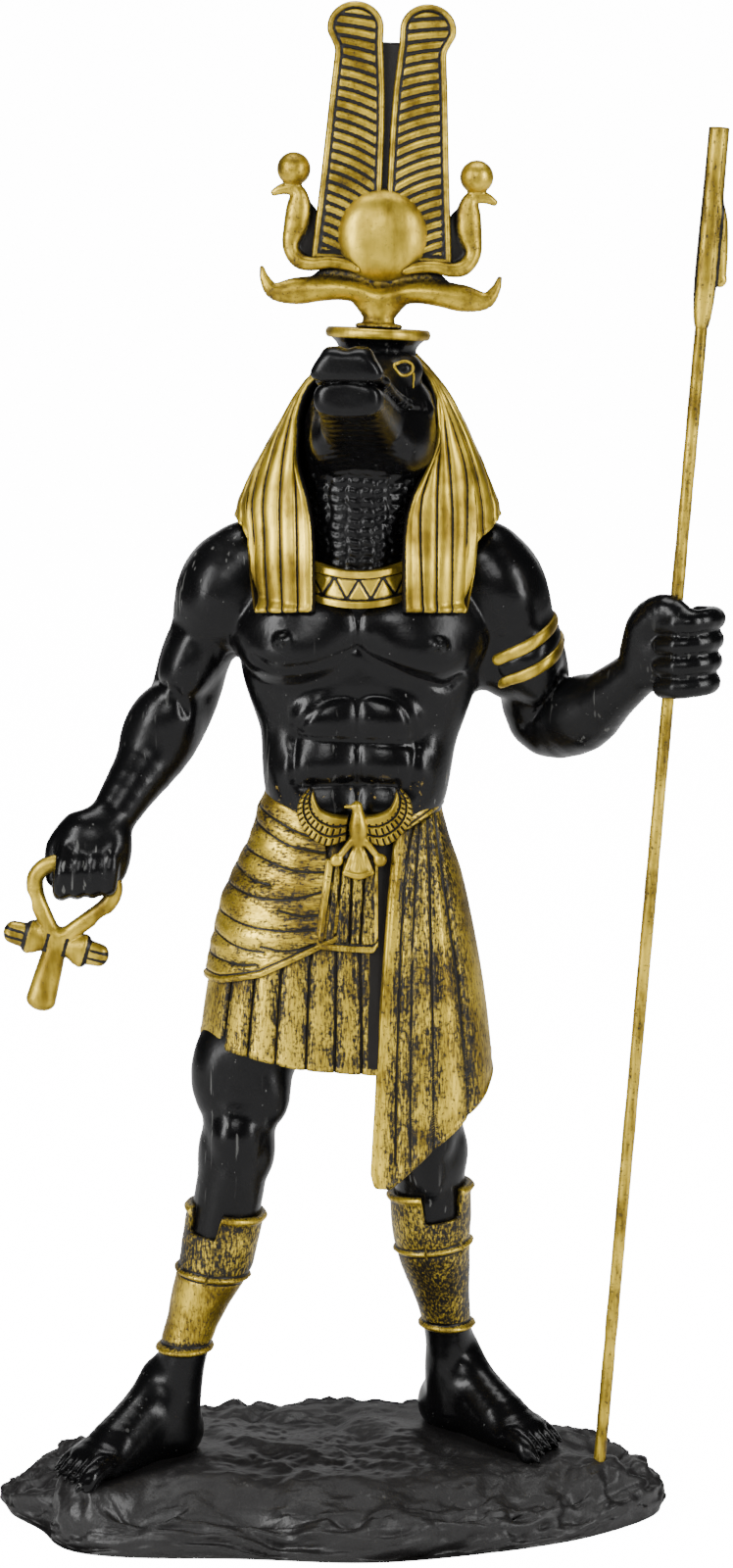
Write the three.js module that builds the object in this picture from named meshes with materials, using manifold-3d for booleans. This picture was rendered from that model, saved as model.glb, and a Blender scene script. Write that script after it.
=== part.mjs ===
// A cast resin statuette of a crocodile-headed god, striding on an oval of rock.
// The body, headcloth, kilt, greaves, hand-held ankh and rock are one casting.
// The plumed crown and the tall sceptre are cast apart and glued in.
// Millimetres, +Z up. The figure faces -Y. The origin is the middle of the rock's flat underside.

import * as THREE from "three";
import { mergeVertices } from "three/addons/utils/BufferGeometryUtils.js";
import Module from "manifold-3d";

const wasm = await Module();
wasm.setup();

// Driving dimensions
const FIGURE_HEIGHT = 229; // soles to the top of the round head block
const ROCK_LENGTH = 133;
const ROCK_DEPTH = 68;
const ROCK_THICKNESS = 13; // underside to the soles
const ROCK_RIM_HEIGHT = 10;
const BLOCK_RADIUS = 10.2; // the round block that carries the crown
const BLOCK_HEIGHT = 6.4;
const HEAD_LEAN = 2.6; // degrees towards the sceptre
const HEAD_TIP = 5; // degrees back
const CROWN_HEIGHT = 63.2;
const CROWN_WIDTH = 47.4; // over the horn tips
const PLUME_THICKNESS = 3.4;
const STEM_WIDTH = 6.6;
const STEM_THICKNESS = 5;
const SUN_RADIUS = 8.9;
const SERPENT_SUN_RADIUS = 3.25;
const STAFF_DIAMETER = 2.5;
const STAFF_HEAD_WIDTH = 4.1;
const STAFF_HEAD_LENGTH = 38;
const STAFF_LENGTH = 276; // from the bottom of its socket to the tip
const SOCKET_DEPTH = 6;
const FIT_GAP = 0.3; // clearance round a glued piece
const GREAVE_WALL = 1.1;
const BAND_HEIGHT = 1.8;

// The free form keeps its proportions: it is drawn in the millimetres of a figure 229 tall,
// and the crown in those of a crown 63.2 tall.
const scale = FIGURE_HEIGHT / 229;
const crownScale = CROWN_HEIGHT / 63.2;

const v = (x, y, z) => new THREE.Vector3(x, y, z);
const radians = THREE.MathUtils.degToRad;
const up = v(0, 0, 1);
const front = v(0, -1, 0);

// A smooth curve through rows of [position, value, value, ...].
function through(rows) {
  const size = rows[0].length - 1;
  const positions = rows.map((row) => row[0]);
  const values = rows.flatMap((row) => row.slice(1));
  const curve = new THREE.CubicInterpolant(positions, values, size, new Array(size));
  return (position) => [...curve.evaluate(position)];
}

// A closed geometry as a solid, with its faces turned outwards.
function solid(geometry) {
  const bare = geometry.index ? geometry.toNonIndexed() : geometry.clone();
  bare.deleteAttribute("normal");
  bare.deleteAttribute("uv");
  const merged = mergeVertices(bare, 1e-4);
  const faces = [];
  for (let i = 0; i < merged.index.count; i += 3) {
    const [a, b, c] = [0, 1, 2].map((k) => merged.index.getX(i + k));
    if (a !== b && b !== c && a !== c) faces.push([a, b, c]);
  }
  const make = (list) =>
    new wasm.Manifold(
      new wasm.Mesh({
        numProp: 3,
        vertProperties: merged.attributes.position.array,
        triVerts: new Uint32Array(list.flat()),
      }),
    );
  const made = make(faces);
  return made.volume() < 0 ? make(faces.map(([a, b, c]) => [a, c, b])) : made;
}

// A solid drawn in the figure's own millimetres, at the figure's size, and one drawn in the crown's.
const drawn = (geometry) => solid(geometry.clone().scale(scale, scale, scale));
const wrought = (geometry) => solid(geometry.clone().scale(crownScale, crownScale, crownScale));

const join = (solids) => solids.reduce((whole, piece) => whole.add(piece));

// A solid's surface as a geometry.
function surfaceOf(shape) {
  const { vertProperties, triVerts } = shape.getMesh();
  const geometry = new THREE.BufferGeometry();
  geometry.setAttribute("position", new THREE.BufferAttribute(new Float32Array(vertProperties), 3));
  geometry.setIndex(new THREE.BufferAttribute(new Uint32Array(triVerts), 1));
  geometry.computeVertexNormals();
  return geometry;
}

// A solid as a named mesh of one material.
function meshOf(name, shape, material) {
  const mesh = new THREE.Mesh(surfaceOf(shape), material);
  mesh.name = name;
  return mesh;
}

// A closed skin over rings of points that all run the same way round.
function skin(rings) {
  const count = rings[0].length;
  const middle = (ring) => ring.reduce((sum, p) => sum.add(p), v(0, 0, 0)).divideScalar(count);
  const points = [...rings.flat(), middle(rings[0]), middle(rings.at(-1))];
  const first = points.length - 2;
  const last = points.length - 1;
  const faces = [];
  for (let i = 0; i + 1 < rings.length; i += 1) {
    for (let j = 0; j < count; j += 1) {
      const next = (j + 1) % count;
      const [a, b] = [i * count + j, i * count + next];
      faces.push(a, b, b + count, a, b + count, a + count);
    }
  }
  for (let j = 0; j < count; j += 1) {
    const next = (j + 1) % count;
    const end = (rings.length - 1) * count;
    faces.push(first, next, j, last, end + j, end + next);
  }
  const geometry = new THREE.BufferGeometry().setFromPoints(points);
  geometry.setIndex(faces);
  return geometry;
}

// A signed power, which squares off a circle's cosine and sine.
const squared = (value, power) => Math.sign(value) * Math.abs(value) ** power;

// A form cut in level slices. Each row is [z, x, y, half width, front depth, back depth].
function stack(rows, { sides = 20, steps = 10, power = 1, ripple = () => 1 } = {}) {
  const at = through(rows);
  const [low, high] = [rows[0][0], rows.at(-1)[0]];
  const rings = [];
  for (let i = 0; i <= steps; i += 1) {
    const z = low + ((high - low) * i) / steps;
    const [x, y, half, depth, back] = at(z);
    const ring = [];
    for (let j = 0; j < sides; j += 1) {
      const angle = (j / sides) * 2 * Math.PI;
      const grown = ripple(j, z);
      const across = half * squared(Math.cos(angle), power) * grown;
      const along = Math.sin(angle);
      const deep = (along < 0 ? depth : back) * squared(along, power) * grown;
      ring.push(v(x + across, y + deep, z));
    }
    rings.push(ring);
  }
  return skin(rings);
}

// A form along a smooth path, round-ended unless it is blunt.
// Each row is [x, y, z, side radius, front radius].
function limb(rows, { sides = 8, steps = 4, facing = front, blunt = false } = {}) {
  const path = new THREE.CatmullRomCurve3(rows.map((row) => v(...row.slice(0, 3))));
  const radii = through(rows.map((row, i) => [i / (rows.length - 1), row[3], row[4] ?? row[3]]));
  const slices = [];
  for (let i = 0; i <= steps; i += 1) slices.push([i / steps, 0, 1]);
  if (!blunt) {
    slices.unshift([0, -0.75, 0.62]);
    slices.push([1, 0.75, 0.62]);
  }
  const rings = slices.map(([t, beyond, share]) => {
    const centre = path.getPoint(t);
    const along = path.getTangent(t);
    const ahead = facing.clone().addScaledVector(along, -facing.dot(along)).normalize();
    const side = ahead.clone().cross(along);
    const [across, deep] = radii(t);
    centre.addScaledVector(along, beyond * Math.min(across, deep));
    const ring = [];
    for (let j = 0; j < sides; j += 1) {
      const angle = (j / sides) * 2 * Math.PI;
      const point = centre.clone();
      point.addScaledVector(side, Math.cos(angle) * across * share);
      point.addScaledVector(ahead, Math.sin(angle) * deep * share);
      ring.push(point);
    }
    return ring;
  });
  return skin(rings);
}

// A ball stretched to three radii, turned by angles in degrees and set down.
function egg(centre, radii, { turn = [0, 0, 0], sides = 7 } = {}) {
  const geometry = new THREE.SphereGeometry(1, sides, Math.round(sides * 0.6));
  geometry.scale(...radii);
  geometry.rotateX(radians(turn[0]));
  geometry.rotateY(radians(turn[1]));
  geometry.rotateZ(radians(turn[2]));
  return geometry.translate(...centre);
}

// A flat shape drawn in X and Z, thickened evenly about Y = 0.
function plate(shape, thickness, curveSegments = 3) {
  const geometry = new THREE.ExtrudeGeometry(shape, {
    depth: thickness,
    bevelEnabled: false,
    curveSegments,
  });
  geometry.translate(0, 0, -thickness / 2);
  return geometry.rotateX(Math.PI / 2);
}

// A closed outline through corner points in X and Z, smoothed where asked.
function outline(points, smooth = false) {
  const corners = points.map(([x, z]) => new THREE.Vector2(x, z));
  if (!smooth) return new THREE.Shape(corners);
  const closed = new THREE.CatmullRomCurve3(
    corners.map(({ x, y }) => v(x, y, 0)),
    true,
  );
  const spread = closed.getPoints(Math.round(points.length * 1.25)).slice(0, -1);
  return new THREE.Shape(spread.map(({ x, y }) => new THREE.Vector2(x, y)));
}

// Where the sceptre runs, as points at the figure's size on the rock's top.
const onRock = (x, y, z) => v(x * scale, y * scale, z * scale);
const staffFoot = onRock(54, -9, 0);
const staffGrip = onRock(66.5, -14.6, 169);
const staffAlong = staffGrip.clone().sub(staffFoot).normalize();

// The trunk, with chest and belly masses
function trunk() {
  const core = stack(
    [
      [124, 3.5, 0.5, 17, 10.4, 10.6],
      [137, 4.2, 0, 16.1, 9.6, 8.8],
      [149, 5.3, 0, 20, 10.8, 10.2],
      [161, 5.4, 0, 24, 11.4, 12.4],
      [172, 5.8, 0, 25.4, 11.4, 13.4],
      [182, 6.4, 1, 24, 9, 12],
      [189, 7, 2, 17, 8, 10.5],
    ],
    { sides: 14, steps: 6, power: 0.9 },
  );
  const chest = [-1, 1].map((side) =>
    egg([5.6 + side * 10.8, -6.6, 169.4], [13.4, 6.2, 9.6], { turn: [-6, side * 8, side * 12], sides: 9 }),
  );
  const belly = [];
  for (const [height, half, tall, forward] of [
    [152.4, 5.8, 5.4, 8],
    [143.2, 5.8, 5, 7.4],
    [134.5, 5.4, 4.8, 7],
  ]) {
    for (const side of [-1, 1]) {
      belly.push(egg([5 + side * half, -forward, height], [half + 0.5, 3.3, tall], { sides: 5 }));
    }
  }
  return join([core, ...chest, ...belly].map(drawn));
}

// A closed hand: a palm, four fingers of one curl from their knuckles, and a thumb.
function hand({ palm, palmRadii, knuckles, curl, fingerRadius, thumb }) {
  const parts = [egg(palm, palmRadii)];
  for (const knuckle of knuckles) {
    const bent = curl.map(([x, y, z]) => [knuckle[0] + x, knuckle[1] + y, knuckle[2] + z, fingerRadius]);
    parts.push(limb(bent, { sides: 4, steps: 3, blunt: true }));
  }
  parts.push(limb(thumb, { sides: 5, steps: 1 }));
  return parts;
}

// The arm that hangs at the side and carries the ankh
function hangingArm() {
  const arm = [
    limb(
      [
        [-17.4, 3, 183.4, 7.4, 8],
        [-22, 3.6, 176.6, 8.4, 9.2],
        [-26.4, 6, 166, 7, 7.6],
        [-31.4, 9, 154.4, 6.9],
        [-36.4, 5.4, 145.6, 7, 6.6],
        [-41.4, -0.4, 137, 5.5, 5],
        [-45, -4, 130.6, 4.5, 4],
      ],
      { sides: 8, steps: 7 },
    ),
    ...hand({
      palm: [-48.2, -6.2, 126.4],
      palmRadii: [7.2, 5.2, 6.4],
      knuckles: [-5, -1.5, 2, 5.4].map((x) => [-48.6 + x, -9.5, 125.2 - 0.1 * x]),
      curl: [
        [0, 0, 0],
        [-0.2, -1.6, -4],
        [-0.4, 0.4, -7.2],
        [-0.3, 3.4, -6.4],
      ],
      fingerRadius: 1.95,
      thumb: [
        [-50, -7, 131, 2.6],
        [-54.4, -9.4, 128, 2.3],
        [-54.8, -10.8, 122.6, 1.9],
      ],
    }),
  ];
  return join(arm.map(drawn));
}

// The bent arm whose fist closes round the sceptre
function raisedArm() {
  const arm = [
    limb(
      [
        [30, 3, 183.4, 7.4, 8],
        [34.6, 3.6, 176.6, 8.4, 9.2],
        [39, 5.6, 165, 7.1, 7.6],
        [43.6, 9.6, 151.6, 6.9],
        [50, 2.8, 152.4, 6.9, 6.5],
        [55.4, -4.6, 157.6, 5.6, 5.4],
        [60.2, -9.4, 162.6, 4.7, 4.5],
      ],
      { sides: 8, steps: 8 },
    ),
    ...hand({
      palm: [62.8, -11.6, 169.5],
      palmRadii: [5.2, 6.4, 8.2],
      knuckles: [6.4, 2.3, -1.9, -6].map((z) => [61.8 + 0.07 * z, -16.2, 169.2 + z]),
      curl: [
        [0, 0, 0],
        [4.2, -2.8, 0.2],
        [8.6, -1, 0.1],
        [9.8, 2.8, -0.2],
      ],
      fingerRadius: 2.25,
      thumb: [
        [59.6, -12.4, 172, 3],
        [61, -14.6, 175.4, 2.8],
        [66.4, -17.4, 176.6, 2.2],
      ],
    }),
  ];
  return join(arm.map(drawn));
}

// A ring round a limb, standing a little proud of it.
function band(centre, along, radii) {
  const half = BAND_HEIGHT / scale / 2;
  const rows = [
    [-half, 0],
    [0, half * 0.8],
    [half, 0],
  ];
  const axis = v(...along).normalize();
  const ahead = front.clone().addScaledVector(axis, -front.dot(axis)).normalize();
  const side = ahead.clone().cross(axis);
  const rings = rows.map(([offset, out]) => {
    const ring = [];
    for (let j = 0; j < 8; j += 1) {
      const angle = (j / 8) * 2 * Math.PI;
      const point = v(...centre).addScaledVector(axis, offset);
      point.addScaledVector(side, Math.cos(angle) * (radii[0] + out));
      point.addScaledVector(ahead, Math.sin(angle) * (radii[1] + out));
      ring.push(point);
    }
    return ring;
  });
  return skin(rings);
}

// Two armlets, tilted with their outer side high
function armlets() {
  const along = [0.42, 0.12, -1];
  return join([
    drawn(band([38.2, 5.2, 167.6], along, [7.3, 7.8])),
    drawn(band([39.8, 6.2, 163], along, [7.1, 7.6])),
  ]);
}

// A leg from hip to ankle, and the foot below it.
const rightLeg = {
  turnOut: -40,
  heel: [-29.4, 1.4, 0],
  rows: [
    [-10, 0, 100, 10.4, 9.4],
    [-15, -0.6, 89, 10.2, 9.4],
    [-18.2, -2.4, 79.5, 10.3, 9.4],
    [-19.3, -4.2, 67.5, 7.5, 8.2],
    [-21.4, -3.9, 54, 7, 7.8],
    [-24.2, -3.6, 40, 6.7, 7.4],
    [-28, -4, 30, 5.1, 5.8],
    [-31, -4.8, 20, 4.2, 5.2],
    [-32.6, -4.4, 6, 4.4, 5],
  ],
};
const leftLeg = {
  turnOut: 40,
  heel: [18.6, 20, 0],
  rows: [
    [14, 1.4, 100, 10.4, 9.4],
    [16.4, 1, 89, 10.2, 9.4],
    [17.8, 0.2, 79.5, 9.6, 9.4],
    [18.8, -0.4, 66.5, 7.4, 8.2],
    [19.4, 2.4, 54, 7.4, 8],
    [20, 5.4, 42, 6.8, 7.6],
    [21.6, 9.2, 31, 5.2, 6],
    [23.3, 12.4, 20, 4.3, 5.3],
    [23.4, 14.2, 6, 4.4, 5],
  ],
};

// The kneecap, on the front of the leg's fourth row.
function kneecap({ rows }) {
  const [x, y, z, side, deep] = rows[3];
  return egg([x, y - deep + 2.4, z], [side * 0.62, 3.2, 5], { sides: 6 });
}

// A bare foot with five toes. It is drawn pointing to the front with its inner side at +X.
function foot({ heel, turnOut }) {
  const parts = [
    limb(
      [
        [0, -3.6, 3.2, 4.2, 3.8],
        [0.2, -10, 5.2, 4.8, 6.4],
        [0, -18, 3.6, 5.8, 4.8],
        [-0.8, -26.4, 2, 7, 2.7],
      ],
      { steps: 3, facing: up },
    ),
  ];
  for (let toe = 0; toe < 5; toe += 1) {
    const across = 4.6 - toe * 2.8 - (toe > 0 ? 0.5 : 0);
    const reach = 36 - toe * 0.9 - (toe > 0 ? 0.8 : 0);
    const radius = toe === 0 ? 2 : 1.35;
    const rows = [
      [across * 0.8 - 0.4, -24, 2.8, radius],
      [across, -reach + 5, 2.9, radius],
      [across, -reach + radius, 1.2, radius * 0.8],
    ];
    parts.push(limb(rows, { sides: 4, steps: 2, facing: up, blunt: true }));
  }
  return parts.map((geometry) => {
    const placed = geometry.clone();
    placed.scale(-Math.sign(turnOut), 1, 1);
    placed.rotateZ(radians(turnOut));
    return placed.translate(...heel);
  });
}

function legs() {
  const parts = [rightLeg, leftLeg].flatMap((leg) => [
    limb(leg.rows, { sides: 8, steps: 7, blunt: true }),
    kneecap(leg),
    ...foot(leg),
  ]);
  return join(parts.map(drawn));
}

// A shin guard that follows the lower leg, notched below the knee, with three raised rings.
function greave({ rows, turnOut }, { topHeight, ringHeight, notchDepth }) {
  const shin = through(rows.map(([x, y, z, side, deep]) => [-z, x, y, side, deep]));
  const wall = GREAVE_WALL / scale;
  const foot = 22;
  const shellRows = [];
  for (let i = 0; i <= 4; i += 1) {
    const z = foot + ((topHeight - foot) * i) / 4;
    const [x, y, side, deep] = shin(-z);
    shellRows.push([x, y, z, side + wall, deep + wall]);
  }
  const shell = limb(shellRows, { sides: 8, steps: 2, blunt: true });
  const ringAt = (z, slope) => {
    const [x, y, side, deep] = shin(-z);
    const [x2, y2] = shin(-z - 4);
    return band([x, y, z], [x2 - x + slope * 4, y2 - y, 4], [side + wall, deep + wall]);
  };
  const [x, y, side, deep] = shellRows.at(-1).slice(0, 2).concat(shellRows.at(-1).slice(3));
  const turn = radians(turnOut * 0.75);
  const notch = new THREE.BoxGeometry(side * 1.1, deep * 1.6, notchDepth * 2);
  notch.translate(0, -deep, topHeight);
  notch.rotateZ(turn);
  notch.translate(x, y, 0.6);
  const rim = ringAt(topHeight - 0.9, Math.sign(turnOut) * 0.12);
  const cover = join([drawn(shell), drawn(rim)]).subtract(drawn(notch));
  return join([cover, drawn(ringAt(ringHeight, Math.sign(turnOut) * 0.1)), drawn(ringAt(foot + 0.6, 0))]);
}

// The wrapped kilt with its pleats, apron and long side drape
function kilt() {
  const rows = [
    [81, 1.6, 0, 28.9, 16.4, 15.4],
    [92, 1.8, 0, 27.8, 15.8, 15],
    [106, 1.8, 0, 25.4, 14.6, 14.4],
    [118, 2.2, 0, 22.6, 13, 13.2],
    [128, 3.2, 0, 19, 11.2, 11],
    [136.5, 4, 0, 16.6, 10.2, 9.6],
  ];
  const wider = rows.map(([z, x, y, ...sizes]) => [z, x, y, ...sizes.map((size) => size + 0.8)]);
  const pleat = (j) => 0.985 + 0.03 * (j % 2);
  const skirt = drawn(stack(rows, { sides: 32, steps: 2, power: 0.92, ripple: pleat }));
  // The hem dips from the hip to the middle.
  const belowHem = outline([
    [-45, 60],
    [-45, 88],
    [-28, 86.8],
    [-8, 83.4],
    [8, 82.2],
    [45, 84],
    [45, 60],
  ]);
  const hemmed = skirt.subtract(drawn(plate(belowHem, 80)));
  // The wrapped side overlaps the pleats with a curved lower edge.
  const wrapEdge = new THREE.Shape();
  wrapEdge.moveTo(-45, 98.6);
  wrapEdge.lineTo(-26, 98.2);
  wrapEdge.quadraticCurveTo(-10, 97.4, 4, 106.5);
  wrapEdge.lineTo(-1, 128);
  wrapEdge.lineTo(-14, 138);
  wrapEdge.lineTo(-45, 138);
  const wrapped = drawn(stack(wider, { sides: 12, steps: 2, power: 0.92 }));
  const wrap = wrapped.intersect(drawn(plate(wrapEdge, 80)));
  // Three folds run round the wrapped side.
  const folds = [106, 115, 124].map((height, i) => {
    const fold = new THREE.Shape();
    fold.moveTo(-45, height - 1.2 + i * 0.4);
    fold.quadraticCurveTo(-14, height - 3, 0, height + 5);
    fold.lineTo(0, height + 6.2);
    fold.quadraticCurveTo(-14, height - 1.6, -45, height + 0.2 + i * 0.4);
    return drawn(plate(fold, 80, 1));
  });
  const widest = wider.map(([z, x, y, ...sizes]) => [z, x, y, ...sizes.map((size) => size + 0.7)]);
  const folded = drawn(stack(widest, { sides: 12, steps: 1, power: 0.92 }));
  const ridges = folds.map((fold) => folded.intersect(fold));
  const belt = stack(
    [
      [131.8, 3.6, -0.4, 18.6, 11.9, 11.2],
      [134.4, 3.9, -0.2, 17.9, 11.6, 10.8],
      [137.2, 4.1, 0, 17.1, 11, 10],
    ],
    { sides: 14, steps: 1, power: 0.92 },
  );
  return join([hemmed, wrap, ...ridges, drawn(belt), drape(), apron()]);
}

// The drape that falls over the thigh on the sceptre's side, to a point before the knee.
function drape() {
  const fold = (j) => 0.985 + 0.03 * (j % 2);
  const body = stack(
    [
      [57, 17.4, -2, 14.5, 15.6, 9],
      [70, 17.2, -1.6, 14, 15.6, 10],
      [84, 16.8, -0.6, 14, 16.4, 12],
      [100, 16, 0, 12.9, 15.9, 12.6],
      [118, 14.8, 0, 10.8, 14, 11],
      [134, 13.4, 0, 7.2, 11, 8],
    ],
    { sides: 18, steps: 3, power: 0.8, ripple: fold },
  );
  // The cloth is open behind, below the hem.
  const behind = stack(
    [
      [50, 17.4, 3, 15, 17, 16],
      [81.6, 17.2, 3, 15, 16.8, 16],
    ],
    { sides: 8, steps: 1, power: 0.8 },
  );
  const edge = new THREE.Shape();
  edge.moveTo(13.2, 136);
  edge.quadraticCurveTo(9.2, 112, 8.6, 84);
  edge.lineTo(7.6, 62);
  edge.quadraticCurveTo(8.4, 58.4, 12, 59.6);
  edge.quadraticCurveTo(22, 66, 29, 75);
  edge.quadraticCurveTo(33.6, 82, 32, 92);
  edge.quadraticCurveTo(29, 112, 21, 134);
  return drawn(body)
    .intersect(drawn(plate(edge, 80)))
    .subtract(drawn(behind));
}

// The flat apron that hangs from the belt, with a raised border
function apron() {
  const face = outline([
    [-1.6, 124],
    [8.6, 124],
    [8.6, 106.6],
    [-4, 107.6],
  ]);
  const hem = outline([
    [-4, 107.6],
    [8.6, 106.6],
    [8.6, 108.8],
    [-3.8, 109.8],
  ]);
  return join([
    drawn(plate(face, 4).translate(0, -13.8, 0)),
    drawn(plate(hem, 5).translate(0, -14, 0)),
  ]);
}

// The winged bird on the belt
function beltBird() {
  const wing = outline(
    [
      [0.6, 1.6],
      [5.4, 0.8],
      [8.6, 3],
      [9.6, 7.4],
      [12.2, 7],
      [11.4, 1],
      [7.6, -4.2],
      [0.8, -4],
    ],
    true,
  );
  const tail = outline([
    [-0.8, -4],
    [0.8, -4],
    [3, -10],
    [-3, -10],
  ]);
  const parts = [-1, 1].map((side) => plate(wing, 4).scale(side, 1, 1));
  parts.push(plate(tail, 4));
  parts.push(egg([0, -1.4, -0.4], [1.6, 2, 4.4], { sides: 6 }));
  parts.push(egg([-0.4, -1.2, 4.4], [1.4, 1.6, 1.6], { sides: 6 }));
  for (const side of [-1, 1]) {
    parts.push(limb([[side * 0.8, -1, -3.4, 0.8], [side * 4.2, -1, -7, 0.8]], { sides: 5, steps: 1 }));
  }
  return join(parts.map((geometry) => drawn(geometry.clone().translate(5.2, -13, 130.2))));
}

// The striped headcloth: a hood that spreads to the shoulders, with two lappets on the chest.
function headcloth() {
  const pleat = (j) => (j % 3 === 0 ? 0.978 : 1);
  const hood = drawn(
    stack(
      [
        [173, 7, 3, 20, 2, 12.6],
        [182, 7, 3, 23, 6, 13],
        [190, 7, 2, 25.9, 9.4, 13.4],
        [194, 6.9, 1.8, 26.3, 10, 13.4],
        [202, 7.8, 1.4, 22, 9.6, 12.6],
        [211, 8.8, 1.4, 16.3, 8.4, 11.4],
        [218, 8.8, 1.2, 12, 7, 10],
        [224.6, 8.8, 0.6, 6.8, 5.4, 7],
      ],
      { sides: 30, steps: 5, power: 0.94, ripple: pleat },
    ),
  );
  // The opening for the face and throat, worked from one side of the head to the other.
  const face = outline([
    [-4, 168],
    [-4, 187],
    [-4.6, 194],
    [-7.2, 201],
    [-7.8, 207],
    [-5.6, 216],
    [0, 222.6],
    [15.6, 222.6],
    [19.6, 216],
    [20.2, 208],
    [17.4, 201],
    [14.6, 195],
    [13.8, 187],
    [13.8, 168],
  ]);
  const lappets = [-1, 1].map((side) => {
    const inner = side < 0 ? -4 : 13.8;
    const low = side < 0 ? -15 : 26.4;
    const high = side < 0 ? -19 : 32.4;
    const shape = outline([
      [inner, 175.6],
      [low, 174.6],
      [high, 192],
      [inner, 201],
    ]);
    const body = stack(
      [
        [172, 5.4, 0, 22.8, 16.2, 6],
        [184, 5.8, 0, 26, 15, 6],
        [193, 6.4, 0, 27, 12.6, 6],
        [202, 7, 0, 23, 9.6, 6],
      ],
      { sides: 30, steps: 2, power: 0.86, ripple: pleat },
    );
    return drawn(body).intersect(drawn(plate(shape, 40).translate(0, -18, 0)));
  });
  return join([hood.subtract(drawn(plate(face, 30).translate(0, -17.6, 0))), ...lappets]);
}

// A jaw as upright slices from back to front, turned to where the head looks.
// Each row is [forward, half width, top, bottom]. The roof narrows its upper edge.
function jaw(rows, { steps = 5, roof = 1 } = {}) {
  const sides = 10;
  const at = through(rows);
  const [back, tip] = [rows[0][0], rows.at(-1)[0]];
  const rings = [];
  for (let i = 0; i <= steps; i += 1) {
    const forward = back + ((tip - back) * i) / steps;
    const [half, top, bottom] = at(forward);
    const ring = [];
    for (let j = 0; j < sides; j += 1) {
      const angle = ((j + 0.5) / sides) * 2 * Math.PI;
      const lift = squared(Math.sin(angle), 0.7);
      const height = (top + bottom) / 2 + ((top - bottom) / 2) * lift;
      const narrowed = 1 - (1 - roof) * Math.max(0, (lift + 1) / 2);
      ring.push(v(half * squared(Math.cos(angle), 0.6) * narrowed, -forward, height));
    }
    rings.push(ring);
  }
  return skin(rings).rotateZ(radians(-10)).translate(8.6, 0, 0);
}

// The crocodile's head, with its throat and eyes
function head() {
  const throat = stack(
    [
      [172, 5.2, 0, 10, 12, 6],
      [184, 5.4, 0, 10.4, 11, 6],
      [194, 6, 0, 11, 9.6, 6],
      [202, 6.6, 0, 12.4, 8.6, 6],
      [210, 6.8, 0, 12.6, 8.4, 6],
    ],
    { sides: 10, steps: 2 },
  );
  const upper = jaw(
    [
      [-8, 8, 222.6, 208],
      [0, 13.2, 225.4, 208],
      [7, 12.6, 225.2, 212],
      [13, 9.6, 224.4, 215.4],
      [20, 6.6, 224.4, 218.4],
      [27, 6.2, 226.4, 220.8],
      [32, 7.2, 228.8, 222],
      [35, 7, 228.6, 222.4],
      [36.4, 5.8, 227.4, 222.8],
    ],
    { steps: 7, roof: 0.56 },
  );
  const lower = jaw([
    [-6, 12, 214, 200],
    [2, 13.2, 213.6, 199],
    [9, 11.6, 215, 201.4],
    [16, 8.2, 218, 206],
    [24, 6.4, 220.6, 210.8],
    [31, 6.3, 222.4, 214.8],
    [34, 5.4, 222.6, 216],
  ]);
  const eyes = [-1, 1].map((side) => egg([8.6 + side * 7.4 - 2, -10.4, 223], [2.4, 3, 2.2], { sides: 6 }));
  return join([throat, upper, lower, ...eyes].map(drawn));
}

// The broad collar between the lappets
const collar = () =>
  drawn(
    stack(
      [
        [176.6, 5, 0, 11, 13.6, 6],
        [179.8, 5, 0, 11.4, 13.2, 6],
        [183.4, 5, 0, 11.2, 12.2, 6],
      ],
      { sides: 14, steps: 1 },
    ),
  );

// The seat of the crown: the top of the head block, leaning and tipped with the head.
const seat = new THREE.Matrix4()
  .makeRotationFromEuler(new THREE.Euler(radians(-HEAD_TIP), radians(HEAD_LEAN), 0))
  .setPosition(v(8.8 * scale, 0, FIGURE_HEIGHT));

function headBlock() {
  const profile = [
    [0, -BLOCK_HEIGHT],
    [BLOCK_RADIUS * 0.78, -BLOCK_HEIGHT],
    [BLOCK_RADIUS * 0.72, -BLOCK_HEIGHT * 0.62],
    [BLOCK_RADIUS * 0.9, -BLOCK_HEIGHT * 0.34],
    [BLOCK_RADIUS, -BLOCK_HEIGHT * 0.28],
    [BLOCK_RADIUS, -BLOCK_HEIGHT * 0.05],
    [BLOCK_RADIUS * 0.96, 0],
    [0, 0],
  ].map(([radius, z]) => new THREE.Vector2(radius, z));
  return solid(new THREE.LatheGeometry(profile, 16).rotateX(Math.PI / 2).applyMatrix4(seat));
}

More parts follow.
